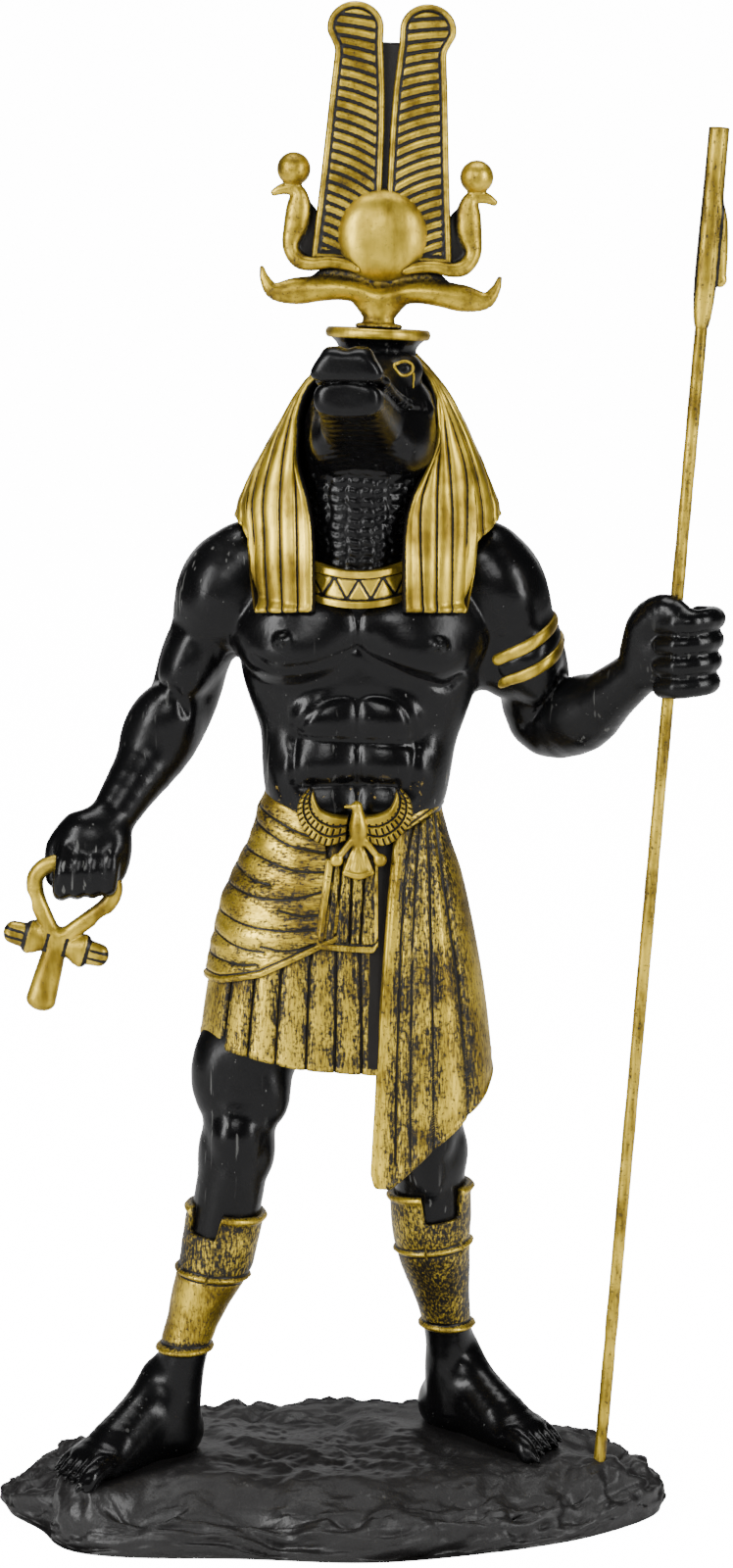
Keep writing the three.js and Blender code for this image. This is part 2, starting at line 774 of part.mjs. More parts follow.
// The ankh, tilted in the hanging hand, with flared arms and a tall loop
function ankh() {
  const loop = [];
  for (let i = 0; i <= 8; i += 1) {
    const angle = radians(28 + (304 * i) / 8);
    loop.push([-7.4 * Math.sin(angle), 0, 12.6 - 8.8 * Math.cos(angle), 1.7, 1.6]);
  }
  loop.unshift([-0.6, 0, 0.6, 1.9, 1.6]);
  loop.push([0.6, 0, 0.6, 1.9, 1.6]);
  const parts = [
    limb(loop, { sides: 5, steps: 10 }),
    limb([[0, 0, 1.4, 2.2, 2], [0, 0, -7, 3, 2.2], [0, 0, -12.6, 3.1, 2.2]], { sides: 6, steps: 2 }),
  ];
  for (const side of [-1, 1]) {
    const arm = [[side * 1, 0, 0, 1.6], [side * 4, 0, 0, 2.4, 1.9], [side * 6.4, 0, 0, 3.4, 2.2]];
    const cap = [[side * 6, 0, 0, 2.4, 1.9], [side * 10.4, 0, 0, 2.2, 1.8]];
    parts.push(limb(arm, { sides: 6, steps: 1, blunt: true, facing: up }));
    parts.push(limb(cap, { sides: 6, steps: 1, blunt: true, facing: up }));
  }
  return join(
    parts.map((geometry) => {
      const placed = geometry.clone().rotateY(radians(18));
      return drawn(placed.translate(-54.8, -9.8, 109));
    }),
  );
}

// Lobes of the rock's outline: where each lies in degrees round from +X, its spread and its rise.
const ROCK_LOBES = [
  [0, 22, 0.05],
  [88, 26, 0.05],
  [184, 18, 0.05],
  [229, 17, 0.18],
  [276, 15, 0.06],
];

// The rock: an irregular oval with a flat underside, sloping walls and a lumpy top
function rock() {
  const sides = 26;
  const reach = (degrees) => {
    let share = 0.955;
    for (const [at, spread, rise] of ROCK_LOBES) {
      const away = Math.abs(((degrees - at + 540) % 360) - 180) / spread;
      share += rise * Math.exp(-(away ** 2));
    }
    return share;
  };
  const lump = (x, y) => {
    const [across, deep] = [x / ROCK_LENGTH, y / ROCK_DEPTH];
    return Math.sin(across * 31 + 1) * Math.cos(deep * 21) + 0.7 * Math.sin(across * 62 + deep * 26);
  };
  const rise = ROCK_THICKNESS - ROCK_RIM_HEIGHT;
  const slices = [
    [1, 0, 0],
    [1.01, ROCK_RIM_HEIGHT * 0.4, 0],
    [0.97, ROCK_RIM_HEIGHT * 0.85, 0.07],
    [0.91, ROCK_RIM_HEIGHT, 0.13],
    [0.74, ROCK_RIM_HEIGHT + rise * 0.75, 0.23],
    [0.5, ROCK_THICKNESS, 0.17],
    [0.22, ROCK_THICKNESS, 0.17],
  ];
  const rings = slices.map(([share, height, rough]) => {
    const ring = [];
    for (let j = 0; j < sides; j += 1) {
      const degrees = (j * 360) / sides;
      const angle = radians(degrees);
      const x = Math.cos(angle) * reach(degrees) * share * (ROCK_LENGTH / 2);
      const y = Math.sin(angle) * reach(degrees) * share * (ROCK_DEPTH / 2);
      ring.push(v(x, y, height + lump(x, y) * rough * rise - ROCK_THICKNESS));
    }
    return ring;
  });
  return solid(skin(rings));
}

// A straight tool along the sceptre's line, used to clear its bore and its socket.
function staffTool(radius, from, to) {
  const geometry = new THREE.CylinderGeometry(radius, radius, to - from, 12);
  geometry.translate(0, (from + to) / 2, 0);
  return solid(alongStaff(geometry));
}

// A geometry drawn up the Y axis, laid along the sceptre's line.
function alongStaff(geometry) {
  geometry.applyQuaternion(new THREE.Quaternion().setFromUnitVectors(v(0, 1, 0), staffAlong));
  return geometry.translate(staffFoot.x, staffFoot.y, staffFoot.z);
}

// The sceptre: a slender rod whose head is an animal's, seen as a thick bar with a muzzle
function sceptre() {
  const radius = STAFF_DIAMETER / 2;
  const headRadius = STAFF_HEAD_WIDTH / 2;
  const end = STAFF_LENGTH - SOCKET_DEPTH;
  const neck = end - STAFF_HEAD_LENGTH;
  const profile = [
    [0, -SOCKET_DEPTH],
    [radius, -SOCKET_DEPTH],
    [radius, neck],
    [headRadius * 0.82, neck + STAFF_HEAD_LENGTH * 0.08],
    [headRadius, neck + STAFF_HEAD_LENGTH * 0.26],
    [headRadius, end - STAFF_HEAD_LENGTH * 0.015],
    [headRadius * 0.8, end],
    [0, end],
  ].map(([r, height]) => new THREE.Vector2(r, height));
  const above = (share) => neck + STAFF_HEAD_LENGTH * share;
  const muzzle = new THREE.Shape();
  muzzle.moveTo(0, above(0.24));
  muzzle.lineTo(headRadius * 2.6, above(0.29));
  muzzle.quadraticCurveTo(headRadius * 3.4, above(0.34), headRadius * 2.4, above(0.45));
  muzzle.lineTo(headRadius * 0.9, above(0.68));
  muzzle.lineTo(0, above(0.68));
  const beak = new THREE.ExtrudeGeometry(muzzle, { depth: headRadius * 1.3, bevelEnabled: false, curveSegments: 2 });
  beak.translate(0, 0, -headRadius * 0.65);
  beak.rotateY(radians(50));
  return join([new THREE.LatheGeometry(profile, 10), beak].map((geometry) => solid(alongStaff(geometry))));
}

// A plume's outline on the +X side, drawn inwards by an inset.
function plumeOutline(inset) {
  const foot = 12.6 + inset;
  const shape = new THREE.Shape();
  shape.moveTo(1.5 + inset, foot);
  shape.lineTo(13.9 - inset, foot);
  shape.lineTo(11 - inset, 53.6);
  shape.quadraticCurveTo(12.6 - inset, 55.6, 12.6 - inset, 57.8);
  shape.absarc(7, 57.6, 5.6 - inset, 0.05, Math.PI - 0.05);
  shape.closePath();
  return shape;
}

// One tall plume: a raised border round a field of slanting barbs.
function plume(side) {
  const thick = PLUME_THICKNESS / crownScale;
  const deep = thick * 0.27;
  const border = wrought(plate(plumeOutline(0), thick));
  const hollow = plate(plumeOutline(1.3), thick);
  const recesses = [-1, 1].map((face) => wrought(hollow.clone().translate(0, face * (thick - deep), 0)));
  const barbs = [];
  const count = 7;
  const [low, high] = [15, 59];
  for (let i = 0; i < count; i += 1) {
    const share = i / count;
    const rib = new THREE.BoxGeometry(11, thick / 2, 2.6);
    rib.rotateY(radians(16 * share - 26));
    rib.translate(8 - 0.8 * share, deep * 0.4 - thick / 4, low + (high - low) * share);
    barbs.push(wrought(rib));
  }
  const field = join(barbs).intersect(wrought(plate(plumeOutline(1), thick)));
  const whole = recesses.reduce((kept, recess) => kept.subtract(recess), border).add(field);
  return side > 0 ? whole : solid(surfaceOf(whole).scale(-1, 1, 1));
}

// The rearing serpent beside a plume, with its little sun.
function serpent(side) {
  const body = limb(
    [
      [side * 5.4, -1.6, 11.6, 1.2],
      [side * 11.6, -1.2, 11, 1.3],
      [side * 16.4, -0.4, 12.2, 1.5],
      [side * 17.4, 0, 17, 1.7],
      [side * 16.4, 0, 22.6, 2.2, 1.8],
      [side * 16.6, 0, 25.4, 1.6],
      [side * 18.6, 0, 26.4, 1.4, 1.2],
      [side * 20.8, 0, 25.6, 0.9],
    ],
    { sides: 5, steps: 7 },
  );
  const radius = SERPENT_SUN_RADIUS / crownScale;
  const sun = egg([side * 17.9, 0, 26.9 + radius], [radius, radius, radius]);
  return [body, sun].map(wrought);
}

// The crown: a stem, wavy horns, twin plumes, a sun disc and two serpents
function crown() {
  const tip = CROWN_WIDTH / crownScale / 2;
  const thick = PLUME_THICKNESS / crownScale;
  const horn = (side) =>
    limb(
      [
        [0, 0, 5.8, 2, 2],
        [side * 6.2, 0, 7.2, 2.1, 2.2],
        [side * 11.4, 0, 6.9, 2.3, 2.2],
        [side * (tip - 7.1), 0, 6.3, 2.5, 2],
        [side * (tip - 2.9), 0, 6.4, 1.8, 1.6],
        [side * (tip - 0.9), 0, 8.6, 1.1, 1],
        [side * tip, 0, 11, 0.5],
      ],
      { sides: 6, steps: 6 },
    );
  const [wide, deep] = [STEM_WIDTH / crownScale, STEM_THICKNESS / crownScale / 2];
  const stem = stack(
    [
      [0, 0, 0, wide / 2, deep, deep],
      [3, 0, 0, wide / 2, deep, deep],
      [7, 0, 0, wide * 0.72, deep, deep],
    ],
    { sides: 8, steps: 2 },
  );
  const radius = SUN_RADIUS / crownScale;
  const sun = egg([0, -0.4, 9.3 + radius], [radius, radius / 2, radius], { sides: 11 });
  const web = outline([
    [-2.4, 6],
    [2.4, 6],
    [2.4, 55.2],
    [-2.4, 55.2],
  ]);
  const gusset = outline([
    [-15.4, 9],
    [15.4, 9],
    [14.4, 24],
    [-14.4, 24],
  ]);
  const parts = [stem, horn(-1), horn(1), sun, plate(web, thick * 0.5), plate(gusset, thick * 0.4)];
  return join([...parts.map(wrought), plume(-1), plume(1), ...serpent(-1), ...serpent(1)]);
}

// Assembly. Everything stands on the rock's top, and the sceptre's bores are cleared last.
const group = new THREE.Group();
group.position.z = ROCK_THICKNESS;

const black = new THREE.MeshStandardMaterial({ color: 0x161618, roughness: 0.42, metalness: 0 });
const gold = new THREE.MeshStandardMaterial({ color: 0xa8823a, roughness: 0.45, metalness: 0.8 });

const casting = [
  trunk(),
  hangingArm(),
  raisedArm(),
  armlets(),
  legs(),
  greave(rightLeg, { topHeight: 52, ringHeight: 38.6, notchDepth: 6 }),
  greave(leftLeg, { topHeight: 54.6, ringHeight: 41.6, notchDepth: 7.4 }),
  kilt(),
  beltBird(),
  headcloth(),
  head(),
  collar(),
  headBlock(),
  ankh(),
  rock(),
];
const bore = STAFF_DIAMETER / 2 + FIT_GAP;
const cleared = [
  staffTool(bore, -SOCKET_DEPTH - FIT_GAP, ROCK_THICKNESS),
  staffTool(bore, ROCK_THICKNESS * 2, STAFF_LENGTH),
];
group.add(meshOf("figure_on_rock", cleared.reduce((whole, tool) => whole.subtract(tool), join(casting)), black));

const crownMesh = meshOf("plumed_crown", crown(), gold);
crownMesh.applyMatrix4(new THREE.Matrix4().makeTranslation(0, 0, FIT_GAP).premultiply(seat));
group.add(crownMesh);
group.add(meshOf("animal_headed_sceptre", sceptre(), gold));

export default group;
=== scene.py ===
"""Looks of a cast resin statuette of a crocodile-headed god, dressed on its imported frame."""

import logging
import math
from collections.abc import Callable
from dataclasses import dataclass, field
from enum import Enum

import bpy
import numpy as np
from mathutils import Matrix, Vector


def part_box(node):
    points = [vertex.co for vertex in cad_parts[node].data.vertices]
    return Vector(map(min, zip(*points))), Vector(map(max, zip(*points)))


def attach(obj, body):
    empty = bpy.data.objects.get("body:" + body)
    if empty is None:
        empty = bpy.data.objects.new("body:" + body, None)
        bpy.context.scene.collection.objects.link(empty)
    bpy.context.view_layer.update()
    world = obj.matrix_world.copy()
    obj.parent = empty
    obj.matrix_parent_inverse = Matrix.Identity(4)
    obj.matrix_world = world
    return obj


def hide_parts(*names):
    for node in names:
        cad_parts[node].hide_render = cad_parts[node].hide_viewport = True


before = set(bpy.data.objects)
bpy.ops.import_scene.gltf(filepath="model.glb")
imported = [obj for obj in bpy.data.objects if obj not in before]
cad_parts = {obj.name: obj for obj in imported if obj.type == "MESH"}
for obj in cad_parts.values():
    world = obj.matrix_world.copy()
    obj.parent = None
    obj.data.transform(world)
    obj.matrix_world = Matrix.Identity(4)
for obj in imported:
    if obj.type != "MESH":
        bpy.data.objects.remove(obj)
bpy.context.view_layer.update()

log = logging.getLogger("statuette")

FIGURE = "figure_on_rock"
CROWN = "plumed_crown"
SCEPTRE = "animal_headed_sceptre"

# The free form is drawn in the millimetres of a casting 243 tall, on a rock 13 thick.
DRAWN_CASTING = 243.0
SOLES = 13.0
CASTING_LOW, CASTING_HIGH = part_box(FIGURE)
MM = (CASTING_HIGH.z - CASTING_LOW.z) / DRAWN_CASTING


class Slot(Enum):
    """Material slots of the record."""

    BLACK = "black_resin"
    GOLD = "antique_gold"


# Numbers and curves


def array(values) -> np.ndarray:
    """Values as an array of single precision numbers."""
    return np.asarray(values, dtype=np.float32)


def spline(rows, count: int) -> np.ndarray:
    """Samples a smooth curve through rows, evenly in row number.

    Each span is a cubic whose slope at a row is half the difference of the rows on either side.

    Args:
        rows: (n, k) values, one row a knot.
        count: Number of samples.

    Returns:
        (count, k) samples from the first row to the last.
    """
    knots = np.asarray(rows, float)
    ends = np.vstack([2 * knots[0] - knots[1], knots, 2 * knots[-1] - knots[-2]])
    at = np.linspace(0, len(knots) - 1, count)
    span = np.minimum(at.astype(int), len(knots) - 2)
    t = (at - span)[:, None]
    a, b, c, d = (ends[span + k] for k in range(4))
    rise = (c - a) / 2
    leave = (d - b) / 2
    near = 2 * t**3 - 3 * t**2 + 1
    return near * b + (t**3 - 2 * t**2 + t) * rise + (1 - near) * c + (t**3 - t**2) * leave


def along(rows, at) -> list[np.ndarray]:
    """Values of a smooth curve through rows, looked up by the first column.

    Args:
        rows: Rows of [position, value, ...], positions rising.
        at: Positions to look up.

    Returns:
        One array for each value column.
    """
    fine = spline(rows, 24 * (len(rows) - 1) + 1)
    return [np.interp(at, fine[:, 0], fine[:, k]) for k in range(1, fine.shape[1])]


def on_line(line, at) -> np.ndarray:
    """Second number of a bent line of pairs, looked up by the first."""
    return np.interp(at, *np.transpose(line))


def smooth(low: float, high: float, values) -> np.ndarray:
    """Rises from 0 at low to 1 at high with level ends."""
    t = np.clip((values - low) / (high - low), 0, 1)
    return t * t * (3 - 2 * t)


def bump(distance, width: float) -> np.ndarray:
    """A bell of height 1 over a distance, about width wide on each side."""
    return np.exp(-((distance / width) ** 2))


def turned(degrees) -> np.ndarray:
    """Rotation matrix of turns about X, then Y, then Z, in degrees."""
    x, y, z = np.radians(degrees)
    about_x = np.array([[1, 0, 0], [0, math.cos(x), -math.sin(x)], [0, math.sin(x), math.cos(x)]])
    about_y = np.array([[math.cos(y), 0, math.sin(y)], [0, 1, 0], [-math.sin(y), 0, math.cos(y)]])
    about_z = np.array([[math.cos(z), -math.sin(z), 0], [math.sin(z), math.cos(z), 0], [0, 0, 1]])
    return about_z @ about_y @ about_x


def unit_grid(rows: int, columns: int) -> tuple[np.ndarray, np.ndarray]:
    """Shares from 0 to 1 up the rows and along the columns, each (rows, columns)."""
    return np.meshgrid(np.linspace(0, 1, rows), np.linspace(0, 1, columns), indexing="ij")


def rounded(distance, radius: float) -> np.ndarray:
    """Height of a quarter round over the distance from an edge: 0 at the edge, 1 from its radius on."""
    return np.sqrt(np.clip(1 - (1 - np.clip(distance / radius, 0, 1)) ** 2, 0, 1))


def line_distance(points: np.ndarray, line: np.ndarray) -> np.ndarray:
    """Distance of each point from a bent line: the least over its spans.

    Args:
        points: (n, k) points.
        line: (m, k) corners.

    Returns:
        (n,) distances.
    """
    best = np.full(len(points), 1e3, np.float32)
    for a, b in zip(line[:-1], line[1:]):
        run = b - a
        t = np.clip((points - a) @ run / max(float(run @ run), 1e-9), 0, 1)
        best = np.minimum(best, np.linalg.norm(points - a - t[:, None] * run, axis=1))
    return best


def nearest_line(x: np.ndarray, z: np.ndarray, lines) -> np.ndarray:
    """Distance of every place from the nearest of several bent lines.

    Args:
        x: First coordinates, of any shape.
        z: Second coordinates, of the same shape.
        lines: (m, 2) corners of each line.

    Returns:
        Distances of the same shape.
    """
    flat = np.stack([x.ravel(), z.ravel()], axis=1)
    return np.min([line_distance(flat, line) for line in lines], axis=0).reshape(x.shape)


def bar_rows(rows) -> list:
    """Rows of [x, y, z, side radius, front radius], where a front radius left out is the side radius."""
    return [[*row, row[3]] if len(row) == 4 else row for row in rows]


class Grain:
    """Smooth random values in space, the same for the same seed."""

    SIZE = 32

    def __init__(self, seed: int) -> None:
        """Fills a repeating lattice of random values between -1 and 1."""
        self.lattice = np.random.default_rng(seed).uniform(-1, 1, (self.SIZE,) * 3)

    def at(self, points, size: float) -> np.ndarray:
        """Value at each point: the eight lattice values round it, mixed by smoothed shares.

        Args:
            points: (..., 3) points.
            size: Lattice spacing.

        Returns:
            (...) values from -1 to 1.
        """
        scaled = np.asarray(points, float) / size
        base = np.floor(scaled).astype(int)
        share = scaled - base
        share = share * share * (3 - 2 * share)
        total = np.zeros(scaled.shape[:-1])
        for corner in np.ndindex(2, 2, 2):
            index = (base + corner) % self.SIZE
            weight = np.prod(np.where(corner, share, 1 - share), axis=-1)
            total += weight * self.lattice[index[..., 0], index[..., 1], index[..., 2]]
        return total

    def layered(self, points, size: float, layers: int) -> np.ndarray:
        """Sum of layers of noise, each half as large and half as strong as the one before."""
        return sum(self.at(points, size / 2**k) / 2**k for k in range(layers))


# Surfaces


@dataclass
class Skin:
    """A closed surface in drawn millimetres, with values at its points."""

    points: np.ndarray
    quads: np.ndarray
    triangles: np.ndarray = field(default_factory=lambda: np.zeros((0, 3), int))
    values: dict[str, np.ndarray] = field(default_factory=dict)

    def all_triangles(self) -> np.ndarray:
        """Every face as triangles."""
        return np.vstack([self.quads[:, [0, 1, 2]], self.quads[:, [0, 2, 3]], self.triangles]).astype(int)

    def outward(self) -> "Skin":
        """Turns the faces so that the enclosed volume is positive."""
        a, b, c = (self.points[self.all_triangles()[:, k]] for k in range(3))
        if np.einsum("ij,ij->", a, np.cross(b, c)) < 0:
            self.quads = self.quads[:, ::-1]
            self.triangles = self.triangles[:, ::-1]
        return self

    def normals(self) -> np.ndarray:
        """Unit normals at the points, averaged over the faces round each by area."""
        corners = self.all_triangles()
        a, b, c = (self.points[corners[:, k]] for k in range(3))
        face = np.cross(b - a, c - a)
        size = len(self.points)
        sums = [np.bincount(corners.ravel(), np.repeat(face[:, k], 3), size) for k in range(3)]
        total = np.stack(sums, axis=1)
        return total / np.maximum(np.linalg.norm(total, axis=1, keepdims=True), 1e-12)

    def hollow(self, rounds: int = 3) -> np.ndarray:
        """How hollow the surface is at each point: above 0 in creases, below 0 on ridges.

        The mean of a point's neighbours, less the point, along its normal, over the mean edge length,
        evened out over the neighbours a few times.
        """
        loops = (self.quads, self.triangles)
        pairs = [np.stack([faces, np.roll(faces, -1, axis=1)], axis=-1).reshape(-1, 2) for faces in loops]
        edges = np.vstack(pairs).astype(int)
        both = np.vstack([edges, edges[:, ::-1]])
        size = len(self.points)
        count = np.maximum(np.bincount(both[:, 0], minlength=size), 1)

        def mean(values):
            return np.bincount(both[:, 0], values[both[:, 1]], size) / count

        middle = np.stack([mean(self.points[:, k]) for k in range(3)], axis=1)
        length = np.linalg.norm(self.points[both[:, 0]] - self.points[both[:, 1]], axis=1)
        spacing = np.maximum(np.bincount(both[:, 0], length, size) / count, 1e-6)
        depth = np.einsum("ij,ij->i", middle - self.points, self.normals()) / spacing**2
        for _ in range(rounds):
            depth = 0.4 * depth + 0.6 * mean(depth)
        return depth


def merged(*skins: Skin) -> Skin:
    """Several skins as one."""
    starts = np.cumsum([0] + [len(s.points) for s in skins[:-1]])
    names = {name for s in skins for name in s.values}
    return Skin(
        np.vstack([s.points for s in skins]),
        np.vstack([s.quads + start for s, start in zip(skins, starts)]),
        np.vstack([s.triangles + start for s, start in zip(skins, starts)]),
        {n: np.concatenate([s.values.get(n, np.zeros(len(s.points))) for s in skins]) for n in names},
    )


def ring_skin(rings: np.ndarray, values: dict[str, np.ndarray] | None = None) -> Skin:
    """A closed skin over rings of points, with a point in the middle of each end.

    Args:
        rings: (n, m, 3) points, each ring closed on itself.
        values: (n, m) arrays by name.

    Returns:
        The skin, with its faces turned outwards.
    """
    n, m, _ = rings.shape
    points = np.vstack([rings.reshape(-1, 3), rings[0].mean(0), rings[-1].mean(0)])
    row, column = np.meshgrid(np.arange(n - 1), np.arange(m), indexing="ij")
    a = (row * m + column).ravel()
    b = (row * m + (column + 1) % m).ravel()
    quads = np.stack([a, b, b + m, a + m], axis=1)
    j = np.arange(m)
    first = np.stack([(j + 1) % m, j, np.full(m, n * m)], axis=1)
    last = np.stack([j, (j + 1) % m, np.full(m, n * m + 1)], axis=1) + [(n - 1) * m, (n - 1) * m, 0]
    kept = {}
    for key, v in (values or {}).items():
        kept[key] = np.concatenate([v.ravel(), [v[0].mean(), v[-1].mean()]])
    return Skin(points, quads, np.vstack([first, last]), kept).outward()


def revolved(profile, sides: int) -> np.ndarray:
    """Rings of points round the Z axis.

    Args:
        profile: Rows of [radius, height].
        sides: Points in each ring.

    Returns:
        (n, sides, 3) points.
    """
    radius, height = np.transpose(profile)[:, :, None]
    angle = np.linspace(0, 2 * math.pi, sides, endpoint=False)
    return np.stack([radius * np.cos(angle), radius * np.sin(angle), height + 0 * angle], axis=-1)


def grid_edge(rows: int, columns: int, closed: bool) -> list[tuple[np.ndarray, np.ndarray]]:
    """Rows and columns of the points along a grid's edge, one pair for each closed run."""
    across, up = np.arange(columns), np.arange(rows)
    if closed:
        return [(0 * across, across), (0 * across + rows - 1, np.roll(across[::-1], 1))]
    row = np.concatenate([0 * across[1:], up[:-1], 0 * across[1:] + rows - 1, up[:0:-1]])
    column = np.concatenate([across[:-1], 0 * up[1:] + columns - 1, across[:0:-1], 0 * up[1:]])
    return [(row, column)]


def sheet_skin(
    outer: np.ndarray, inner: np.ndarray, values: dict | None = None, closed: bool = False, thin: int = 4
) -> Skin:
    """A skin over a sheet with two faces, joined along its edges.

    Args:
        outer: (n, m, 3) points of the outer face.
        inner: (n, m, 3) points of the inner face, matching the outer ones.
        values: (n, m) arrays by name, which hold for both faces.
        closed: Whether the last column meets the first.
        thin: One in this many rows and columns of the inner face is kept.

    Returns:
        The skin, with its faces turned outwards.
    """
    n, m, _ = outer.shape
    kept_rows = np.unique(np.append(np.arange(0, n, thin), n - 1))
    kept_columns = np.unique(np.append(np.arange(0, m, thin), [] if closed else m - 1)).astype(int)
    wide, back = len(kept_columns), n * m

    def faces(count: int, across: int, start: int) -> np.ndarray:
        runs = np.arange(across if closed else across - 1)
        row, column = (v.ravel() for v in np.meshgrid(np.arange(count - 1), runs, indexing="ij"))
        a, b = row * across + column + start, row * across + (column + 1) % across + start
        return np.stack([a, b, b + across, a + across], axis=1)

    seams = []
    for row, column in grid_edge(n, m, closed):
        fine = row * m + column
        kept = np.flatnonzero(np.isin(row, kept_rows) & np.isin(column, kept_columns))
        coarse_row = np.searchsorted(kept_rows, row[kept])
        coarse = back + coarse_row * wide + np.searchsorted(kept_columns, column[kept])
        halfway = (kept + np.append(kept[1:], len(fine))) / 2
        nearest = np.searchsorted(halfway, np.arange(len(fine)) + 0.5) % len(kept)
        before = np.roll(nearest, 1)
        turn = np.flatnonzero(nearest != before)
        seams.append(np.stack([np.roll(fine, -1), fine, coarse[nearest]], axis=1))
        seams.append(np.stack([fine[turn], coarse[before[turn]], coarse[nearest[turn]]], axis=1))
    kept = np.ix_(kept_rows, kept_columns)
    points = np.vstack([outer.reshape(-1, 3), inner[kept].reshape(-1, 3)])
    quads = np.vstack([faces(n, m, 0), faces(len(kept_rows), wide, back)[:, ::-1]])
    both = {name: np.concatenate([v.ravel(), v[kept].ravel()]) for name, v in (values or {}).items()}
    return Skin(points, quads, np.vstack(seams), both).outward()


def tube(rows, sides: int = 24, steps: int = 48, facing=(0, -1, 0), blunt: float = 1.0) -> Skin:
    """A round-ended bar: an ellipse carried along a smooth path.

    Args:
        rows: Rows of [x, y, z, side radius, front radius].
        sides: Points round each ellipse.
        steps: Rings along the path.
        facing: Direction that the front radius is measured in.
        blunt: Length of each rounded end over its radius.

    Returns:
        The skin.
    """
    path = spline(bar_rows(rows), steps)
    centres, radii = path[:, :3], path[:, 3:]
    tangents = np.gradient(centres, axis=0)
    tangents /= np.linalg.norm(tangents, axis=1, keepdims=True)
    cap = np.linspace(0, math.pi / 2, 7)[1:]
    start = centres[0] - tangents[0] * np.sin(cap[::-1])[:, None] * radii[0].min() * blunt
    finish = centres[-1] + tangents[-1] * np.sin(cap)[:, None] * radii[-1].min() * blunt
    shrink = np.maximum(np.cos(cap), 0.02)[:, None]
    centres = np.vstack([start, centres, finish])
    radii = np.vstack([radii[0] * shrink[::-1], radii, radii[-1] * shrink])
    tangents = np.pad(tangents, ((len(cap), len(cap)), (0, 0)), mode="edge")
    facing = np.asarray(facing, float)
    ahead = facing - tangents * (tangents @ facing)[:, None]
    ahead /= np.linalg.norm(ahead, axis=1, keepdims=True)
    side = np.cross(ahead, tangents)
    angle = np.linspace(0, 2 * math.pi, sides, endpoint=False)
    rings = (
        centres[:, None]
        + side[:, None] * (np.cos(angle)[:, None] * radii[:, None, :1])
        + ahead[:, None] * (np.sin(angle)[:, None] * radii[:, None, 1:2])
    )
    return ring_skin(rings)


# Modelled forms


@dataclass(frozen=True)
class Lump:
    """An ellipsoid: its centre, three radii, and turns in degrees about X, Y and Z."""

    centre: tuple
    radii: tuple
    turn: tuple = (0, 0, 0)

    def box(self) -> tuple[np.ndarray, np.ndarray]:
        """Lowest and highest corner."""
        reach = np.abs(turned(self.turn)) @ np.asarray(self.radii, float)
        return np.asarray(self.centre) - reach, np.asarray(self.centre) + reach

    def distance(self, points: np.ndarray) -> np.ndarray:
        """About how far each point is from the surface, below 0 inside."""
        own = (points - array(self.centre)) @ array(turned(self.turn))
        radii = array(self.radii)
        length = np.linalg.norm(own / radii, axis=1)
        slope = np.linalg.norm(own / radii**2, axis=1)
        return length * (length - 1) / np.maximum(slope, 1e-6)


@dataclass(frozen=True)
class Limb:
    """A round-ended bar of elliptical section along a smooth path.

    Rows are [x, y, z, side radius, front radius]. The front radius is measured towards facing.
    """

    rows: tuple
    facing: tuple = (0, -1, 0)
    steps: int = 14

    def path(self) -> np.ndarray:
        """Samples of centre, side radius and front radius."""
        return spline(bar_rows(self.rows), self.steps + 1)

    def box(self) -> tuple[np.ndarray, np.ndarray]:
        """Lowest and highest corner."""
        path = self.path()
        reach = path[:, 3:].max(1, keepdims=True)
        return (path[:, :3] - reach).min(0), (path[:, :3] + reach).max(0)

    def distance(self, points: np.ndarray) -> np.ndarray:
        """About how far each point is from the surface, below 0 inside.

        For each span the point is measured from the nearest place on it, across, ahead and along,
        each over its own radius, and the least over the spans is kept.
        """
        path = array(self.path())
        best = np.full(len(points), 1e3, np.float32)
        for a, b in zip(path[:-1], path[1:]):
            run = b[:3] - a[:3]
            length = float(run @ run)
            unit = run / math.sqrt(length)
            ahead = array(self.facing) - unit * float(array(self.facing) @ unit)
            ahead /= np.linalg.norm(ahead)
            side = np.cross(ahead, unit)
            offset = points - a[:3]
            t = np.clip(offset @ run / length, 0, 1)
            offset = offset - t[:, None] * run
            across = a[3] + (b[3] - a[3]) * t
            deep = a[4] + (b[4] - a[4]) * t
            least = np.minimum(across, deep)
            beside, before, past = offset @ side, offset @ ahead, offset @ unit
            size = np.sqrt((beside / across) ** 2 + (before / deep) ** 2 + (past / least) ** 2)
            slope = np.sqrt((beside / across**2) ** 2 + (before / deep**2) ** 2 + (past / least**2) ** 2)
            best = np.minimum(best, size * (size - 1) / np.maximum(slope, 1e-6))
        return best


